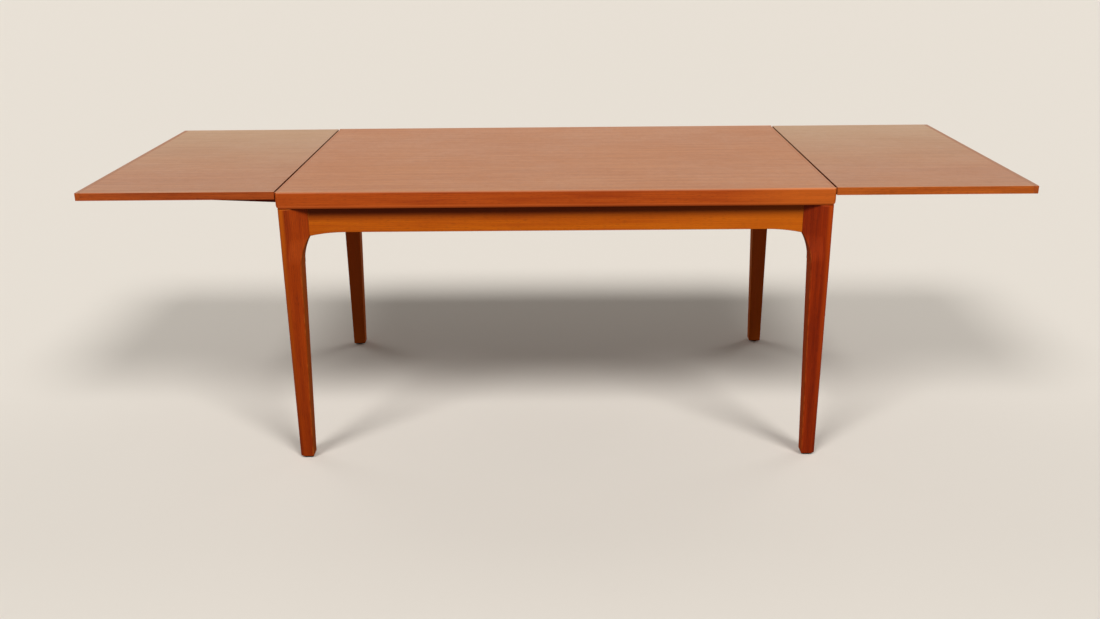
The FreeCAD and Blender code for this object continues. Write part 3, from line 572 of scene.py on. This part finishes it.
def look_of(**values):
    """A wood's colours and sizes. What a wood doesn't name is as in ordinary satin teak."""
    usual = {
        "streak": 14 * MM, "ring": 5 * MM, "sway": 0.02, "tone_share": 0.35, "ring_share": 0.30,
        "pore_share": 0.45, "wear_share": 0.35, "gloss": 0.42, "sheen": 0.35, "relief": 0.25,
        "bleached": None, "tint": None, "drifts": (),
    }
    return SimpleNamespace(**{**usual, **values})


def variant(look, **changes):
    """The same wood with a few things changed."""
    return SimpleNamespace(**{**vars(look), **changes})


def painted_drift(axis, start, end, share, stain):
    """Painted light or shade that comes in along an axis, from none at the start to its share at the end."""
    return SimpleNamespace(axis=axis, start=start, end=end, share=share, stain=stain)


print(f"ordinary teak: streaks {look_of().streak / MM:.0f} mm wide, rings {look_of().ring / MM:.0f} mm apart")

# %% Veneered faces
TOP_TEAK = look_of(
    light=colour(186, 126, 86), other_leaf=colour(181, 124, 87), dark=colour(169, 108, 71),
    tone=colour(178, 118, 76), late=colour(140, 84, 55), pore=colour(92, 52, 33),
    bare=colour(205, 160, 125), ring_share=0.22, streak=18 * MM,
)
# The leaves' tint darkens the board's end grain, partly its own colour and partly painted shade in the gap
# beside the top. Their drift is a painted reflection, paler towards the back.
LEAF_TEAK = look_of(
    light=colour(181, 127, 92), other_leaf=colour(177, 125, 94), dark=colour(164, 109, 76),
    tone=colour(173, 119, 83), late=colour(136, 86, 60), pore=colour(92, 54, 36),
    bare=colour(203, 160, 128), tint=colour(84, 40, 18), ring_share=0.22, streak=18 * MM,
    drifts=(painted_drift("Y", -0.25, 0.5, 0.36, colour(190, 174, 140)),),
)
print(f"veneer: streaks {TOP_TEAK.streak / MM:.0f} mm wide")

# %% Solid edges
# The painted-light colour of each solid edge is close to the pale top: a painted sheen on the faces that look
# up.
EDGE_TEAK = look_of(
    light=colour(205, 92, 25), dark=colour(170, 65, 14), tone=colour(188, 80, 20),
    late=colour(128, 44, 8), pore=colour(78, 28, 8), bare=colour(214, 132, 70),
    bleached=colour(184, 124, 86), sheen=OILED_SHEEN,
)
# The lip's tint is painted light on its sloping underside, and its drift paints it lighter and more golden
# towards the right end, where the light is stronger.
LIP_TEAK = variant(
    EDGE_TEAK, tint=colour(240, 118, 52), drifts=(painted_drift("X", 0.42, 0.60, 0.32, colour(246, 132, 40)),),
)
BAND_TEAK = variant(EDGE_TEAK, wear_share=0.0, bleached=colour(172, 112, 76))
# The right leaf's lippings: a lit copy of the edge wood, painted paler as if more light came from the right.
LIT_EDGE_TEAK = look_of(
    light=colour(214, 112, 38), dark=colour(184, 86, 24), tone=colour(200, 100, 32),
    late=colour(140, 58, 14), pore=colour(84, 34, 12), bare=colour(218, 142, 80),
    bleached=colour(181, 127, 92), sheen=OILED_SHEEN,
)
# The left leaf's lippings: a shaded copy of the same wood, painted darker.
SHADED_EDGE_TEAK = look_of(
    light=colour(196, 92, 34), dark=colour(158, 66, 22), tone=colour(178, 80, 28),
    late=colour(116, 44, 16), pore=colour(68, 26, 12), bare=colour(206, 128, 74),
    bleached=colour(181, 127, 92), sheen=OILED_SHEEN,
)
END_TEAK = look_of(
    light=colour(200, 98, 34), dark=colour(166, 74, 24), tone=colour(184, 86, 28),
    late=colour(120, 50, 16), pore=colour(70, 28, 12), bare=colour(170, 108, 66),
    bleached=colour(158, 106, 74),
)
print(f"the lips turn golden from {LIP_TEAK.drifts[0].start} m to the right of the middle")

# %% Legs, aprons and hidden wood
# The legs' painted-light colour is used for the painted highlight on the nose and the lighter inner faces.
LEG_TEAK = look_of(
    light=colour(188, 74, 8), dark=colour(143, 47, 4), tone=colour(164, 56, 5),
    late=colour(106, 29, 2), pore=colour(60, 19, 4), bare=colour(212, 114, 38),
    bleached=colour(214, 104, 14), sheen=OILED_SHEEN,
)
# Painted shade: the front left leg is darker towards its foot.
FOOT_SHADED_LEG_TEAK = variant(LEG_TEAK, drifts=(painted_drift("Z", 0.62, 0.0, 0.45, colour(120, 36, 3)),))
RED_LEG_TEAK = look_of(
    light=colour(165, 51, 4), dark=colour(123, 31, 2), tone=colour(142, 37, 3),
    late=colour(90, 19, 2), pore=colour(54, 15, 3), bare=colour(206, 96, 30),
    bleached=colour(206, 78, 8), sheen=OILED_SHEEN,
)
APRON_TEAK = look_of(
    light=colour(215, 109, 10), dark=colour(188, 84, 6), tone=colour(204, 97, 8),
    late=colour(147, 59, 4), pore=colour(90, 38, 6), bare=colour(222, 142, 52), sheen=OILED_SHEEN,
    drifts=(
        # Painted shadow of the lip along the apron's upper edge.
        painted_drift("Z", 0.654, 0.674, 0.75, colour(96, 26, 2)),
        # Painted light: paler and more golden towards the right end, where the light is stronger.
        painted_drift("X", 0.15, 0.60, 0.25, colour(240, 128, 14)),
    ),
)
BEECH = look_of(
    light=colour(205, 170, 128), dark=colour(186, 146, 102), tone=colour(196, 158, 114),
    late=colour(166, 122, 80), pore=colour(140, 98, 62), bare=colour(216, 186, 148),
    streak=9 * MM, ring=4 * MM, gloss=0.48, pore_share=0.5, ring_share=0.25,
)
print(f"the aprons turn dark from {APRON_TEAK.drifts[0].start / MM:.0f} mm above the floor")

# %% [markdown]
# ## Mixing the wood finishes
#
# A board sawn far from the heart of its trunk shows nearly straight rings, and one sawn nearer shows them
# curved. The veneer is sliced nearer, for its figure, and everything solid is sawn farther out, because
# straight grain stays straight. The same wood is mixed again for each way its grain runs. The legs come
# from two boards, one of them redder, and the runners come from the redder one as well.

# %% Mix the wood finishes
HEART_FAR = (0.0, 0.31, 0.27)
HEART_NEAR = (0.0, -0.09, -0.68)

veneer_top = wood("veneer_top", TOP_TEAK, "x", HEART_NEAR, VENEER_WIDTH)
veneer_leaf = wood("veneer_leaf", LEAF_TEAK, "x", HEART_NEAR, VENEER_WIDTH)
edge_long = wood("edge_teak_lengthwise", LIP_TEAK, "x", HEART_FAR)
edge_cross = wood("edge_teak_crosswise", BAND_TEAK, "y", HEART_FAR)
# Shaded and lit copies of one edge wood: shaded on the left leaf, lit on the right.
leaf_edge = {
    "left": wood("shaded_edge_lengthwise", SHADED_EDGE_TEAK, "x", HEART_FAR),
    "right": wood("lit_edge_lengthwise", LIT_EDGE_TEAK, "x", HEART_FAR),
}
leaf_end = wood("leaf_end_crosswise", END_TEAK, "y", HEART_FAR)
leg_wood = {
    ("front", "left"): wood("foot_shaded_leg_teak_upright", FOOT_SHADED_LEG_TEAK, "z", HEART_FAR),
    ("front", "right"): wood("red_leg_teak_upright", RED_LEG_TEAK, "z", HEART_FAR),
}
leg_wood["back", "left"] = leg_wood["back", "right"] = wood("leg_teak_upright", LEG_TEAK, "z", HEART_FAR)
runner_wood = wood("runner_teak_lengthwise", RED_LEG_TEAK, "x", HEART_FAR)
apron_long = wood("apron_teak_lengthwise", APRON_TEAK, "x", HEART_FAR)
apron_cross = wood("apron_teak_crosswise", APRON_TEAK, "y", HEART_FAR)
beech_cross = wood("beech_crosswise", BEECH, "y", HEART_FAR)
beech_upright = wood("beech_upright", BEECH, "z", HEART_FAR)

# %% [markdown]
# ## Felt, plastic and steel
#
# Three small finishes. Felt is a mat of fibres: its colour is broken up finely, it has no gloss, and its
# sheen gives the pale rim that cloth has. The glides are moulded plastic, dull where they have rubbed
# over the floor. The screws are zinc plated: a metal's colour is in its reflection, and fine clouds in
# the roughness keep it from looking like chrome.

# %% Felt, plastic and steel
SPECK_LIMITS = (0.35, 0.65)
SPECK_STRENGTH = 0.4


def plain_finish(name, first, second, scale, roughness, bump_mm, **surface_values):
    """A finish of two near colours in fine clouds, with the same clouds in its roughness and relief."""
    material, tree, out = new_material(name)
    here = put(tree, "ShaderNodeTexCoord").outputs["Object"]
    clouds = stretch_range(tree, noise(tree, here, scale, detail=4.0), *SPECK_LIMITS)
    values = {key.replace("_", " "): value for key, value in surface_values.items()}
    surface = put(tree, "ShaderNodeBsdfPrincipled", values)
    bump = put(tree, "ShaderNodeBump", {"Strength": SPECK_STRENGTH, "Distance": bump_mm * MM})
    wire(
        tree,
        (blend(tree, clouds, first, second), surface.inputs["Base Color"]),
        (stretch_range(tree, clouds, 0.0, 1.0, *roughness), surface.inputs["Roughness"]),
        (clouds, bump.inputs["Height"]),
        (bump.outputs["Normal"], surface.inputs["Normal"]),
        (surface.outputs["BSDF"], out.inputs["Surface"]),
    )
    print(f"{name}: clouds at a scale of {scale}")
    return material


felt = plain_finish(
    "felt", colour(72, 78, 66), colour(98, 104, 90),
    scale=900, roughness=(0.9, 1.0), bump_mm=0.3, Sheen_Weight=0.4,
)
glide_plastic = plain_finish(
    "glide_plastic", colour(52, 42, 36), colour(66, 54, 46),
    scale=260, roughness=(0.5, 0.7), bump_mm=0.05,
)
zinc = plain_finish(
    "zinc_steel", colour(188, 184, 174), colour(168, 162, 150),
    scale=420, roughness=(0.32, 0.5), bump_mm=0.02, Metallic=1.0,
)

# %% [markdown]
# ## Helpers for shaping
#
# Nothing made of wood has a perfectly sharp edge, and it is the thin bright line along each edge that
# tells the eye so. Most pieces need no more than that: a copy of the construction's mesh, its loose
# triangles welded and its flat faces made whole again, with every hard edge rounded by a bevel.
#
# The marks are kept on face corners, so that "worn" ends where the flat face begins. A Weighted Normal
# modifier then keeps large flat faces flat and lets the shading turn only on the narrow rounded strips.
# Edges that stay hard, such as the rims of small holes, are marked sharp.

# %% Cleaning and rounding
WELD = 0.002 * MM
NEARLY_FLAT = math.radians(0.3)
HARD_EDGE = math.radians(30)


def span(node):
    """The six limits of a construction piece: x0, x1, y0, y1, z0 and z1."""
    low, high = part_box(node)
    return SimpleNamespace(x0=low[0], x1=high[0], y0=low[1], y1=high[1], z0=low[2], z1=high[2])


def clean(bm):
    """Weld loose triangles, and join those that lie in one plane."""
    bmesh.ops.remove_doubles(bm, verts=bm.verts, dist=WELD)
    bmesh.ops.dissolve_limit(bm, angle_limit=NEARLY_FLAT, verts=bm.verts, edges=bm.edges)


def copy_of(node):
    """A clean mesh of a construction piece, to work on while the piece itself stays as it is."""
    bm = bmesh.new()
    bm.from_mesh(frame["nodes"][node].data)
    clean(bm)
    return bm


def hard_edges(bm):
    """The edges that a hand would feel."""
    return [edge for edge in bm.edges if edge.is_manifold and edge.calc_face_angle() > HARD_EDGE]


def layer_of(bm, mark):
    """Where a mesh keeps one of its marks."""
    layers = bm.loops.layers.float
    return layers.get(mark) or layers.new(mark)


def soften(bm, edges, radius, segments=3):
    """Round edges, and mark the new faces as the ones that wear."""
    worn = layer_of(bm, "worn")
    rounded = bmesh.ops.bevel(
        bm, geom=edges, offset=radius, offset_type="OFFSET", segments=segments,
        profile=0.5, affect="EDGES", material=-1, clamp_overlap=False,
    )
    for face in rounded["faces"]:
        for corner in face.loops:
            corner[worn] = 1.0


def paint(bm, mark, rule):
    """Raise a mark to what a rule makes of each face's direction and each corner's place."""
    layer = layer_of(bm, mark)
    for face in bm.faces:
        for corner in face.loops:
            corner[layer] = max(corner[layer], rule(face.normal, corner.vert.co))


print(f"edges of more than {math.degrees(HARD_EDGE):.0f} degrees count as hard")

# %% Finishing a piece
STAYS_SHARP = HARD_EDGE + math.radians(5)
END_GRAIN_FROM = 0.9


# Painted sheen: faces that look up are turned paler, the way a satin top looks pale where it mirrors the
# room.
def looking_up(normal, place):
    """1 for a face that looks straight up, and less the more it tips over."""
    return normal.z


# Darker end grain, partly the wood's own colour and partly painted shade in the gap next to it.
def end_grain(normal, place):
    """1 for a face that looks along the table, 0 for others. Only a wood with a tint shows it."""
    return float(abs(normal.x) > END_GRAIN_FROM)


def finished(name, bm, nodes, material):
    """Turn a bmesh into a piece that stands for construction nodes and moves with their body."""
    for edge in bm.edges:
        edge.smooth = not edge.is_manifold or edge.calc_face_angle() < STAYS_SHARP
    for face in bm.faces:
        face.smooth = True
    # Paint light on every face that looks up.
    paint(bm, "painted_light", looking_up)
    mesh = bpy.data.meshes.new(name)
    bm.to_mesh(mesh)
    bm.free()
    mesh.materials.append(material)
    piece = bpy.data.objects.new(name, mesh)
    bpy.context.scene.collection.objects.link(piece)
    shading = piece.modifiers.new("even shading", "WEIGHTED_NORMAL")
    shading.keep_sharp = True
    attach(piece, body_of[nodes[0]])
    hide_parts(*nodes)
    return piece


def softened_copy(node, radius, material, segments=3):
    """The usual way to finish a piece: a clean copy of its construction with its edges rounded."""
    bm = copy_of(node)
    edges = hard_edges(bm)
    soften(bm, edges, radius, segments)
    # Darker end grain, partly painted shade where it faces a gap.
    paint(bm, "tinted", end_grain)
    print(f"{node}: {len(edges)} hard edges rounded by {radius / MM:.1f} mm, {len(bm.faces)} faces")
    finished("wood_" + node, bm, [node], material)


# %% [markdown]
# ## Legs
#
# A leg is cut from one square post, four times. The front outline is drawn on one side and sawn right
# through: a tapered foot and a bracket that sweeps out to the rail. The post is turned, and the same
# outline is sawn from the next side. The third cut is the shape seen from above, which changes on the
# way up. The shank is square with a round nose at its outer corner, and above the knee its two outer
# faces turn back until they meet the rails. The last cut takes out the inner corner between the two
# brackets. The outer corner also leans outwards a little as it rises.
#
# In Blender each outline starts as one vertex, which is extruded on from point to point, with a spin
# where a compass would be used. Front outlines are pushed out to slabs, and plans at several heights are
# bridged into one skin. Exact Booleans are the saw cuts. They leave spare points on straight edges,
# where only two edges meet, so those are dissolved before bevels round what is left.
#
# The nose of a leg gets a painted highlight, strongest towards the head, and its inner faces, which the
# lamps reach less, are painted lighter. Both are painted light, part of the mark that turns the wood paler.

# %% Drawing an outline
SLANTED_LINE = Vector((1.0, 1.3, -2.9))


def straight_to(bm, tip, x, z):
    """Draw on from the tip to a new point."""
    new_tip = bmesh.ops.extrude_vert_indiv(bm, verts=[tip])["verts"][0]
    new_tip.co = (x, 0, z)
    return new_tip


def swing(bm, tip, centre, angle, steps):
    """Draw on from the tip along an arc about the centre, from +Z towards +X."""
    about = Vector((centre[0], 0, centre[1]))
    arc = bmesh.ops.spin(bm, geom=[tip], cent=about, axis=(0, 1, 0), angle=angle, steps=steps)
    return arc["geom_last"][0]


def put_in_order(bm):
    """Sort faces by their place along a slanted line, because some operators number them by chance."""
    bm.faces.sort(key=lambda face: face.calc_center_median().dot(SLANTED_LINE))


def slab(bm, depth):
    """Close a drawn outline, fill it, and push it out to both sides."""
    ends = [vert for vert in bm.verts if len(vert.link_edges) == 1]
    bmesh.ops.contextual_create(bm, geom=ends)
    face = bmesh.ops.contextual_create(bm, geom=bm.edges[:])["faces"][0]
    pushed = bmesh.ops.extrude_face_region(bm, geom=[face])["geom"]
    far_side = [item for item in pushed if isinstance(item, bmesh.types.BMVert)]
    bmesh.ops.translate(bm, verts=far_side, vec=(0, depth, 0))
    bmesh.ops.translate(bm, verts=bm.verts, vec=(0, -depth / 2, 0))
    put_in_order(bm)
    bmesh.ops.recalc_face_normals(bm, faces=bm.faces)


# %% Sawing
def sawn(first, second, operation):
    """What an exact Boolean leaves of two meshes, as a clean new one."""
    blanks = []
    for bm in (first, second):
        mesh = bpy.data.meshes.new("blank")
        bm.to_mesh(mesh)
        bm.free()
        blanks.append(bpy.data.objects.new("blank", mesh))
        bpy.context.scene.collection.objects.link(blanks[-1])
    cut = blanks[0].modifiers.new("saw", "BOOLEAN")
    cut.operation = operation
    cut.solver = "EXACT"
    cut.object = blanks[1]
    left = bmesh.new()
    left.from_object(blanks[0], bpy.context.evaluated_depsgraph_get())
    for blank in blanks:
        bpy.data.objects.remove(blank)
    clean(left)
    return left


def block(low, high):
    """A solid block between two corners."""
    bm = bmesh.new()
    bmesh.ops.create_cube(bm, size=1.0)
    bmesh.ops.scale(bm, vec=Vector(high) - Vector(low), verts=bm.verts)
    bmesh.ops.translate(bm, vec=(Vector(high) + Vector(low)) / 2, verts=bm.verts)
    return bm


# %% The leg's outline from the front
leg = span("leg_back_right")
apron = span("apron_back")
POST = 52 * MM
FOOT = 37.5 * MM
FOOT_INSET = 3.5 * MM
BRACKET_HEIGHT = 78 * MM
HEAD = leg.x1 - leg.x0
KNEE = apron.z0 - BRACKET_HEIGHT
SWEEP = HEAD - POST
BRACKET_RADIUS = (SWEEP**2 + BRACKET_HEIGHT**2) / (2 * SWEEP)
BRACKET_ANGLE = math.asin(BRACKET_HEIGHT / BRACKET_RADIUS)
BRACKET_STEPS = 10
SAW_REACH = 3 * HEAD


def leg_front():
    """The leg square on, its outer side at zero and left uncut, the table's middle towards -X."""
    bm = bmesh.new()
    tip = bmesh.ops.create_vert(bm, co=(POST, 0, leg.z0))["vert"][0]
    tip = straight_to(bm, tip, POST, leg.z1)
    tip = straight_to(bm, tip, -HEAD, leg.z1)
    tip = straight_to(bm, tip, -HEAD, apron.z0)
    tip = swing(bm, tip, (-POST - BRACKET_RADIUS, KNEE), BRACKET_ANGLE, BRACKET_STEPS)
    straight_to(bm, tip, -FOOT_INSET - FOOT, leg.z0)
    slab(bm, 2 * SAW_REACH)
    return bm


print(f"leg {leg.z1 / MM:.0f} mm high, {HEAD / MM:.0f} mm wide at the head, knee at {KNEE / MM:.0f} mm")

# %% The leg from above
FOOT_NOSE, KNEE_NOSE, HEAD_NOSE = 14 * MM, 18 * MM, 20 * MM
NOSE_STEPS = 20
REVEAL = 1 * MM
FALL = leg.y1 - apron.y1 - REVEAL
FULL_TURN = math.atan((FALL - HEAD_NOSE) / (HEAD - HEAD_NOSE)) + math.asin(
    HEAD_NOSE / math.hypot(HEAD - HEAD_NOSE, FALL - HEAD_NOSE)
)


def plan_at(bm, height, nose, turn):
    """Draw the leg from above at one height and give the edges drawn: a nose and its two faces.

    The faces fall back from the nose by the turn, and run on beyond the post so that they cut all of it.
    """
    old = set(bm.verts) | set(bm.edges)
    front_x = -nose - nose * math.sin(turn)
    front_z = -nose + nose * math.cos(turn)
    beyond = (front_x + HEAD + POST) * math.tan(turn) - front_z
    first = bmesh.ops.create_vert(bm, co=(-HEAD - POST, 0, -beyond))["vert"][0]
    tip = straight_to(bm, first, front_x, front_z)
    tip = swing(bm, tip, (-nose, -nose), QUARTER_TURN + 2 * turn, NOSE_STEPS)
    tip = straight_to(bm, tip, -beyond, -HEAD - POST)
    last = straight_to(bm, tip, -HEAD - POST, -HEAD - POST)
    bmesh.ops.contextual_create(bm, geom=[first, last])
    inset = FOOT_INSET * (leg.z1 - height) / (leg.z1 - leg.z0)
    laid_flat = Matrix.Translation((-inset, -inset, height)) @ Matrix.Rotation(-QUARTER_TURN, 4, "X")
    bmesh.ops.transform(bm, matrix=laid_flat, verts=[vert for vert in bm.verts if vert not in old])
    return [edge for edge in bm.edges if edge not in old]


def leg_round():
    """The leg's outer skin: plans at several heights, bridged from the floor to above the head."""
    bm = bmesh.new()
    plans = [plan_at(bm, 0, FOOT_NOSE, 0)]
    for step in range(BRACKET_STEPS + 1):
        height = KNEE + BRACKET_RADIUS * math.sin(BRACKET_ANGLE * step / BRACKET_STEPS)
        share = (height - KNEE) / BRACKET_HEIGHT
        eased = share * share * (3 - 2 * share)
        plans.append(plan_at(bm, height, KNEE_NOSE + (HEAD_NOSE - KNEE_NOSE) * share, FULL_TURN * eased))
    plans.append(plan_at(bm, leg.z1 + POST, HEAD_NOSE, FULL_TURN))
    for lower, upper in zip(plans, plans[1:]):
        bmesh.ops.bridge_loops(bm, edges=lower + upper)
    bmesh.ops.contextual_create(bm, geom=plans[0])
    bmesh.ops.contextual_create(bm, geom=plans[-1])
    bmesh.ops.recalc_face_normals(bm, faces=bm.faces)
    return bm


skin = leg_round()
print(f"outer faces turn back by {math.degrees(FULL_TURN):.1f} degrees at the head")
print(f"the skin is closed: {all(edge.is_manifold for edge in skin.edges)}")
skin.free()

# %% One leg, cut four times
SHOULDER_ROUND = 0.6 * MM
HEAD_ROUND = 1 * MM
LEG_EDGE_ROUND = 3 * MM
# How much painted light the inner faces of a leg get.
INNER_SHARE = 0.6


def turned_quarter(bm):
    """The same slab, drawn on the next side of the post."""
    swap = Matrix(((0, 1, 0, 0), (1, 0, 0, 0), (0, 0, 1, 0), (0, 0, 0, 1)))
    bmesh.ops.transform(bm, matrix=swap, verts=bm.verts)
    bmesh.ops.recalc_face_normals(bm, faces=bm.faces)
    return bm


def at_shoulder(place):
    """Whether a point lies on one of the two faces that meet the rails."""
    return min(abs(place.x + HEAD), abs(place.y + HEAD)) < HEAD_ROUND / 2


def at_head(place):
    """Whether a point lies on the level top of the leg."""
    return abs(place.z - leg.z1) < HEAD_ROUND / 2


def edges_where(bm, test):
    """The hard edges whose two ends both pass a test of their place."""
    return [edge for edge in hard_edges(bm) if all(test(vert.co) for vert in edge.verts)]


# Painted highlight along the nose, and painted light on the inner faces that the lamps reach less.
def leg_painted_light(normal, place):
    """Pale along the nose, more so towards the head, and paler on the faces that look inwards."""
    on_nose = 2 * normal.x * normal.y if normal.x > 0 else 0.0
    inside = INNER_SHARE * (2 * max(-normal.x, -normal.y) - 1)
    return max(inside, on_nose * (place.z / leg.z1) ** 2)


def one_leg():
    """The back right leg, its outer corner at the origin."""
    cut_twice = sawn(leg_front(), turned_quarter(leg_front()), "INTERSECT")
    shaped = sawn(cut_twice, leg_round(), "INTERSECT")
    inner_corner = block((-SAW_REACH, -SAW_REACH, -HEAD), (-POST, -POST, leg.z1 + HEAD))
    shaped = sawn(shaped, inner_corner, "DIFFERENCE")
    bmesh.ops.dissolve_verts(shaped, verts=[vert for vert in shaped.verts if len(vert.link_edges) == 2])
    finer = set(edges_where(shaped, at_head)) | set(edges_where(shaped, at_shoulder))
    soften(shaped, [edge for edge in hard_edges(shaped) if edge not in finer], LEG_EDGE_ROUND, 4)
    # Paint the highlight on the nose and the light on the inner faces.
    paint(shaped, "painted_light", leg_painted_light)
    soften(shaped, edges_where(shaped, at_head), HEAD_ROUND)
    soften(shaped, edges_where(shaped, at_shoulder), SHOULDER_ROUND, 2)
    put_in_order(shaped)
    return shaped


# %% Four legs
pattern = one_leg()
print(f"one leg has {len(pattern.faces)} faces")
for depth, sign_y in (("front", -1), ("back", 1)):
    for side, sign_x in (("left", -1), ("right", 1)):
        bm = pattern.copy()
        bmesh.ops.translate(bm, vec=(leg.x1, leg.y1, 0), verts=bm.verts)
        bmesh.ops.scale(bm, vec=(sign_x, sign_y, 1), verts=bm.verts)
        bmesh.ops.recalc_face_normals(bm, faces=bm.faces)
        finished(f"shaped_leg_{depth}_{side}", bm, [f"leg_{depth}_{side}"], leg_wood[depth, side])
pattern.free()

# %% [markdown]
# ## Rails
#
# The aprons and end rails tie the legs together. Their lower edges flare down to meet the brackets, and
# the end rails are notched where the runners pass over them. Their shape is right in the construction,
# so they only need softer edges.

# %% Aprons and end rails
RAIL_ROUND = 1.5 * MM
for node in ("apron_front", "apron_back"):
    softened_copy(node, RAIL_ROUND, apron_long)
for node in ("end_rail_left", "end_rail_right"):
    softened_copy(node, RAIL_ROUND, apron_cross)

# %% [markdown]
# ## The top
#
# The top lies loose on the frame. Its veneered board ends in deep solid lips along the sides, which hide
# the edges of the leaves when they are in, and in thin bands across the ends. The joints between them are
# fine V-shaped lines, because each piece's edge is broken just a little before gluing.
#
# A lip is sawn once more than the construction shows: its lower corners are rounded where it ends, so
# that nobody catches a knee on them. Its underside slopes, and the slope gets half of the tinted mark,
# painted light that keeps it as light as if it were lit from below.

# %% The top's board
JOINT_ROUND = 0.3 * MM
softened_copy("top_board", JOINT_ROUND, veneer_top, 2)

# %% The top's lips
LIP_END_ROUND = 12 * MM
LIP_END_STEPS = 8
UNDERSIDE_LIGHT_SHARE = 0.5
SLOPE_LIMITS = (-0.9, -0.1)
FACES_AN_END = 0.5


def lip_side_view(lip):
    """The lip seen from the front, its two lower corners round, as a slab to saw by."""
    left, right = lip.x0 + LIP_END_ROUND, lip.x1 - LIP_END_ROUND
    low, above = lip.z0 + LIP_END_ROUND, lip.z1 + LIP_END_ROUND
    bm = bmesh.new()
    tip = bmesh.ops.create_vert(bm, co=(lip.x1, 0, low))["vert"][0]
    tip = swing(bm, tip, (right, low), QUARTER_TURN, LIP_END_STEPS)
    tip = straight_to(bm, tip, left, lip.z0)
    tip = swing(bm, tip, (left, low), QUARTER_TURN, LIP_END_STEPS)
    tip = straight_to(bm, tip, lip.x0, above)
    straight_to(bm, tip, lip.x1, above)
    slab(bm, 3 * max(lip.y1, -lip.y0))
    return bm


# Painted light on the lip's sloping underside.
def underside_painted_light(normal, place):
    """Part of a mark on the sloping underside along the lip, and none on its ends."""
    on_slope = SLOPE_LIMITS[0] < normal.z < SLOPE_LIMITS[1]
    return UNDERSIDE_LIGHT_SHARE * (on_slope and abs(normal.x) < FACES_AN_END)


for node in ("top_lip_front", "top_lip_back"):
    lip = sawn(copy_of(node), lip_side_view(span(node)), "INTERSECT")
    soften(lip, hard_edges(lip), JOINT_ROUND, 2)
    # Paint light on the sloping underside.
    paint(lip, "tinted", underside_painted_light)
    print(f"{node}: lower end corners rounded by {LIP_END_ROUND / MM:.0f} mm, {len(lip.faces)} faces")
    finished("wood_" + node, lip, [node], edge_long)

# %% The top's end bands and dowels
PEG_ROUND = 0.6 * MM
for node in ("top_end_band_left", "top_end_band_right"):
    softened_copy(node, JOINT_ROUND, edge_cross, 2)
softened_copy("guide_dowels", PEG_ROUND, beech_upright, 2)

# %% [markdown]
# ## The leaves
#
# Each leaf is a thinner veneered board with solid lippings on three edges, carried by two tapered
# runners. It lies level with the top when it is drawn, because the runners' lower edges climb as they
# come out. A peg through each runner's tail stops it at the cross bearer. The leaf's fourth edge, next
# to the top, shows the board's own end, and the tinted mark paints it dark: partly the darker end grain,
# partly painted shade, so that the gap between them is a dark line.

# %% The leaves and their runners
LIPPING_ROUND = 0.8 * MM
RUNNER_ROUND = 1.2 * MM
for side in ("left", "right"):
    softened_copy(f"leaf_board_{side}", JOINT_ROUND, veneer_leaf, 2)
    for depth in ("front", "back"):
        softened_copy(f"leaf_{depth}_lipping_{side}", LIPPING_ROUND, leaf_edge[side])
        softened_copy(f"runner_{depth}_{side}", RUNNER_ROUND, runner_wood)
    softened_copy(f"leaf_end_lipping_{side}", LIPPING_ROUND, leaf_end)
    softened_copy(f"stop_pegs_{side}", PEG_ROUND, beech_cross, 2)

# %% [markdown]
# ## Inside the frame
#
# Nobody sees these pieces at dinner, yet they do the work: two cross bearers that guide the runners, a
# fixed board that carries the top, felt pads, corner blocks and screws. The wooden ones are left in plain
# beech, as makers leave them.

# %% Inside the frame
BEARER_ROUND = 1.0 * MM
BOARD_ROUND = 0.5 * MM
PAD_ROUND = 0.3 * MM
GLIDE_ROUND = 0.8 * MM
SCREW_ROUND = 0.4 * MM
for side in ("left", "right"):
    softened_copy(f"cross_bearer_{side}", BEARER_ROUND, beech_cross)
    for depth in ("front", "back"):
        softened_copy(f"corner_block_{depth}_{side}", BEARER_ROUND, beech_cross)
softened_copy("centre_board", BOARD_ROUND, beech_cross, 2)
softened_copy("rest_pads", PAD_ROUND, felt, 2)
softened_copy("foot_glides", GLIDE_ROUND, glide_plastic)
for node in ("centre_board_screws", "corner_block_screws", "runner_screws_left", "runner_screws_right"):
    softened_copy(node, SCREW_ROUND, zinc, 2)

# %% [markdown]
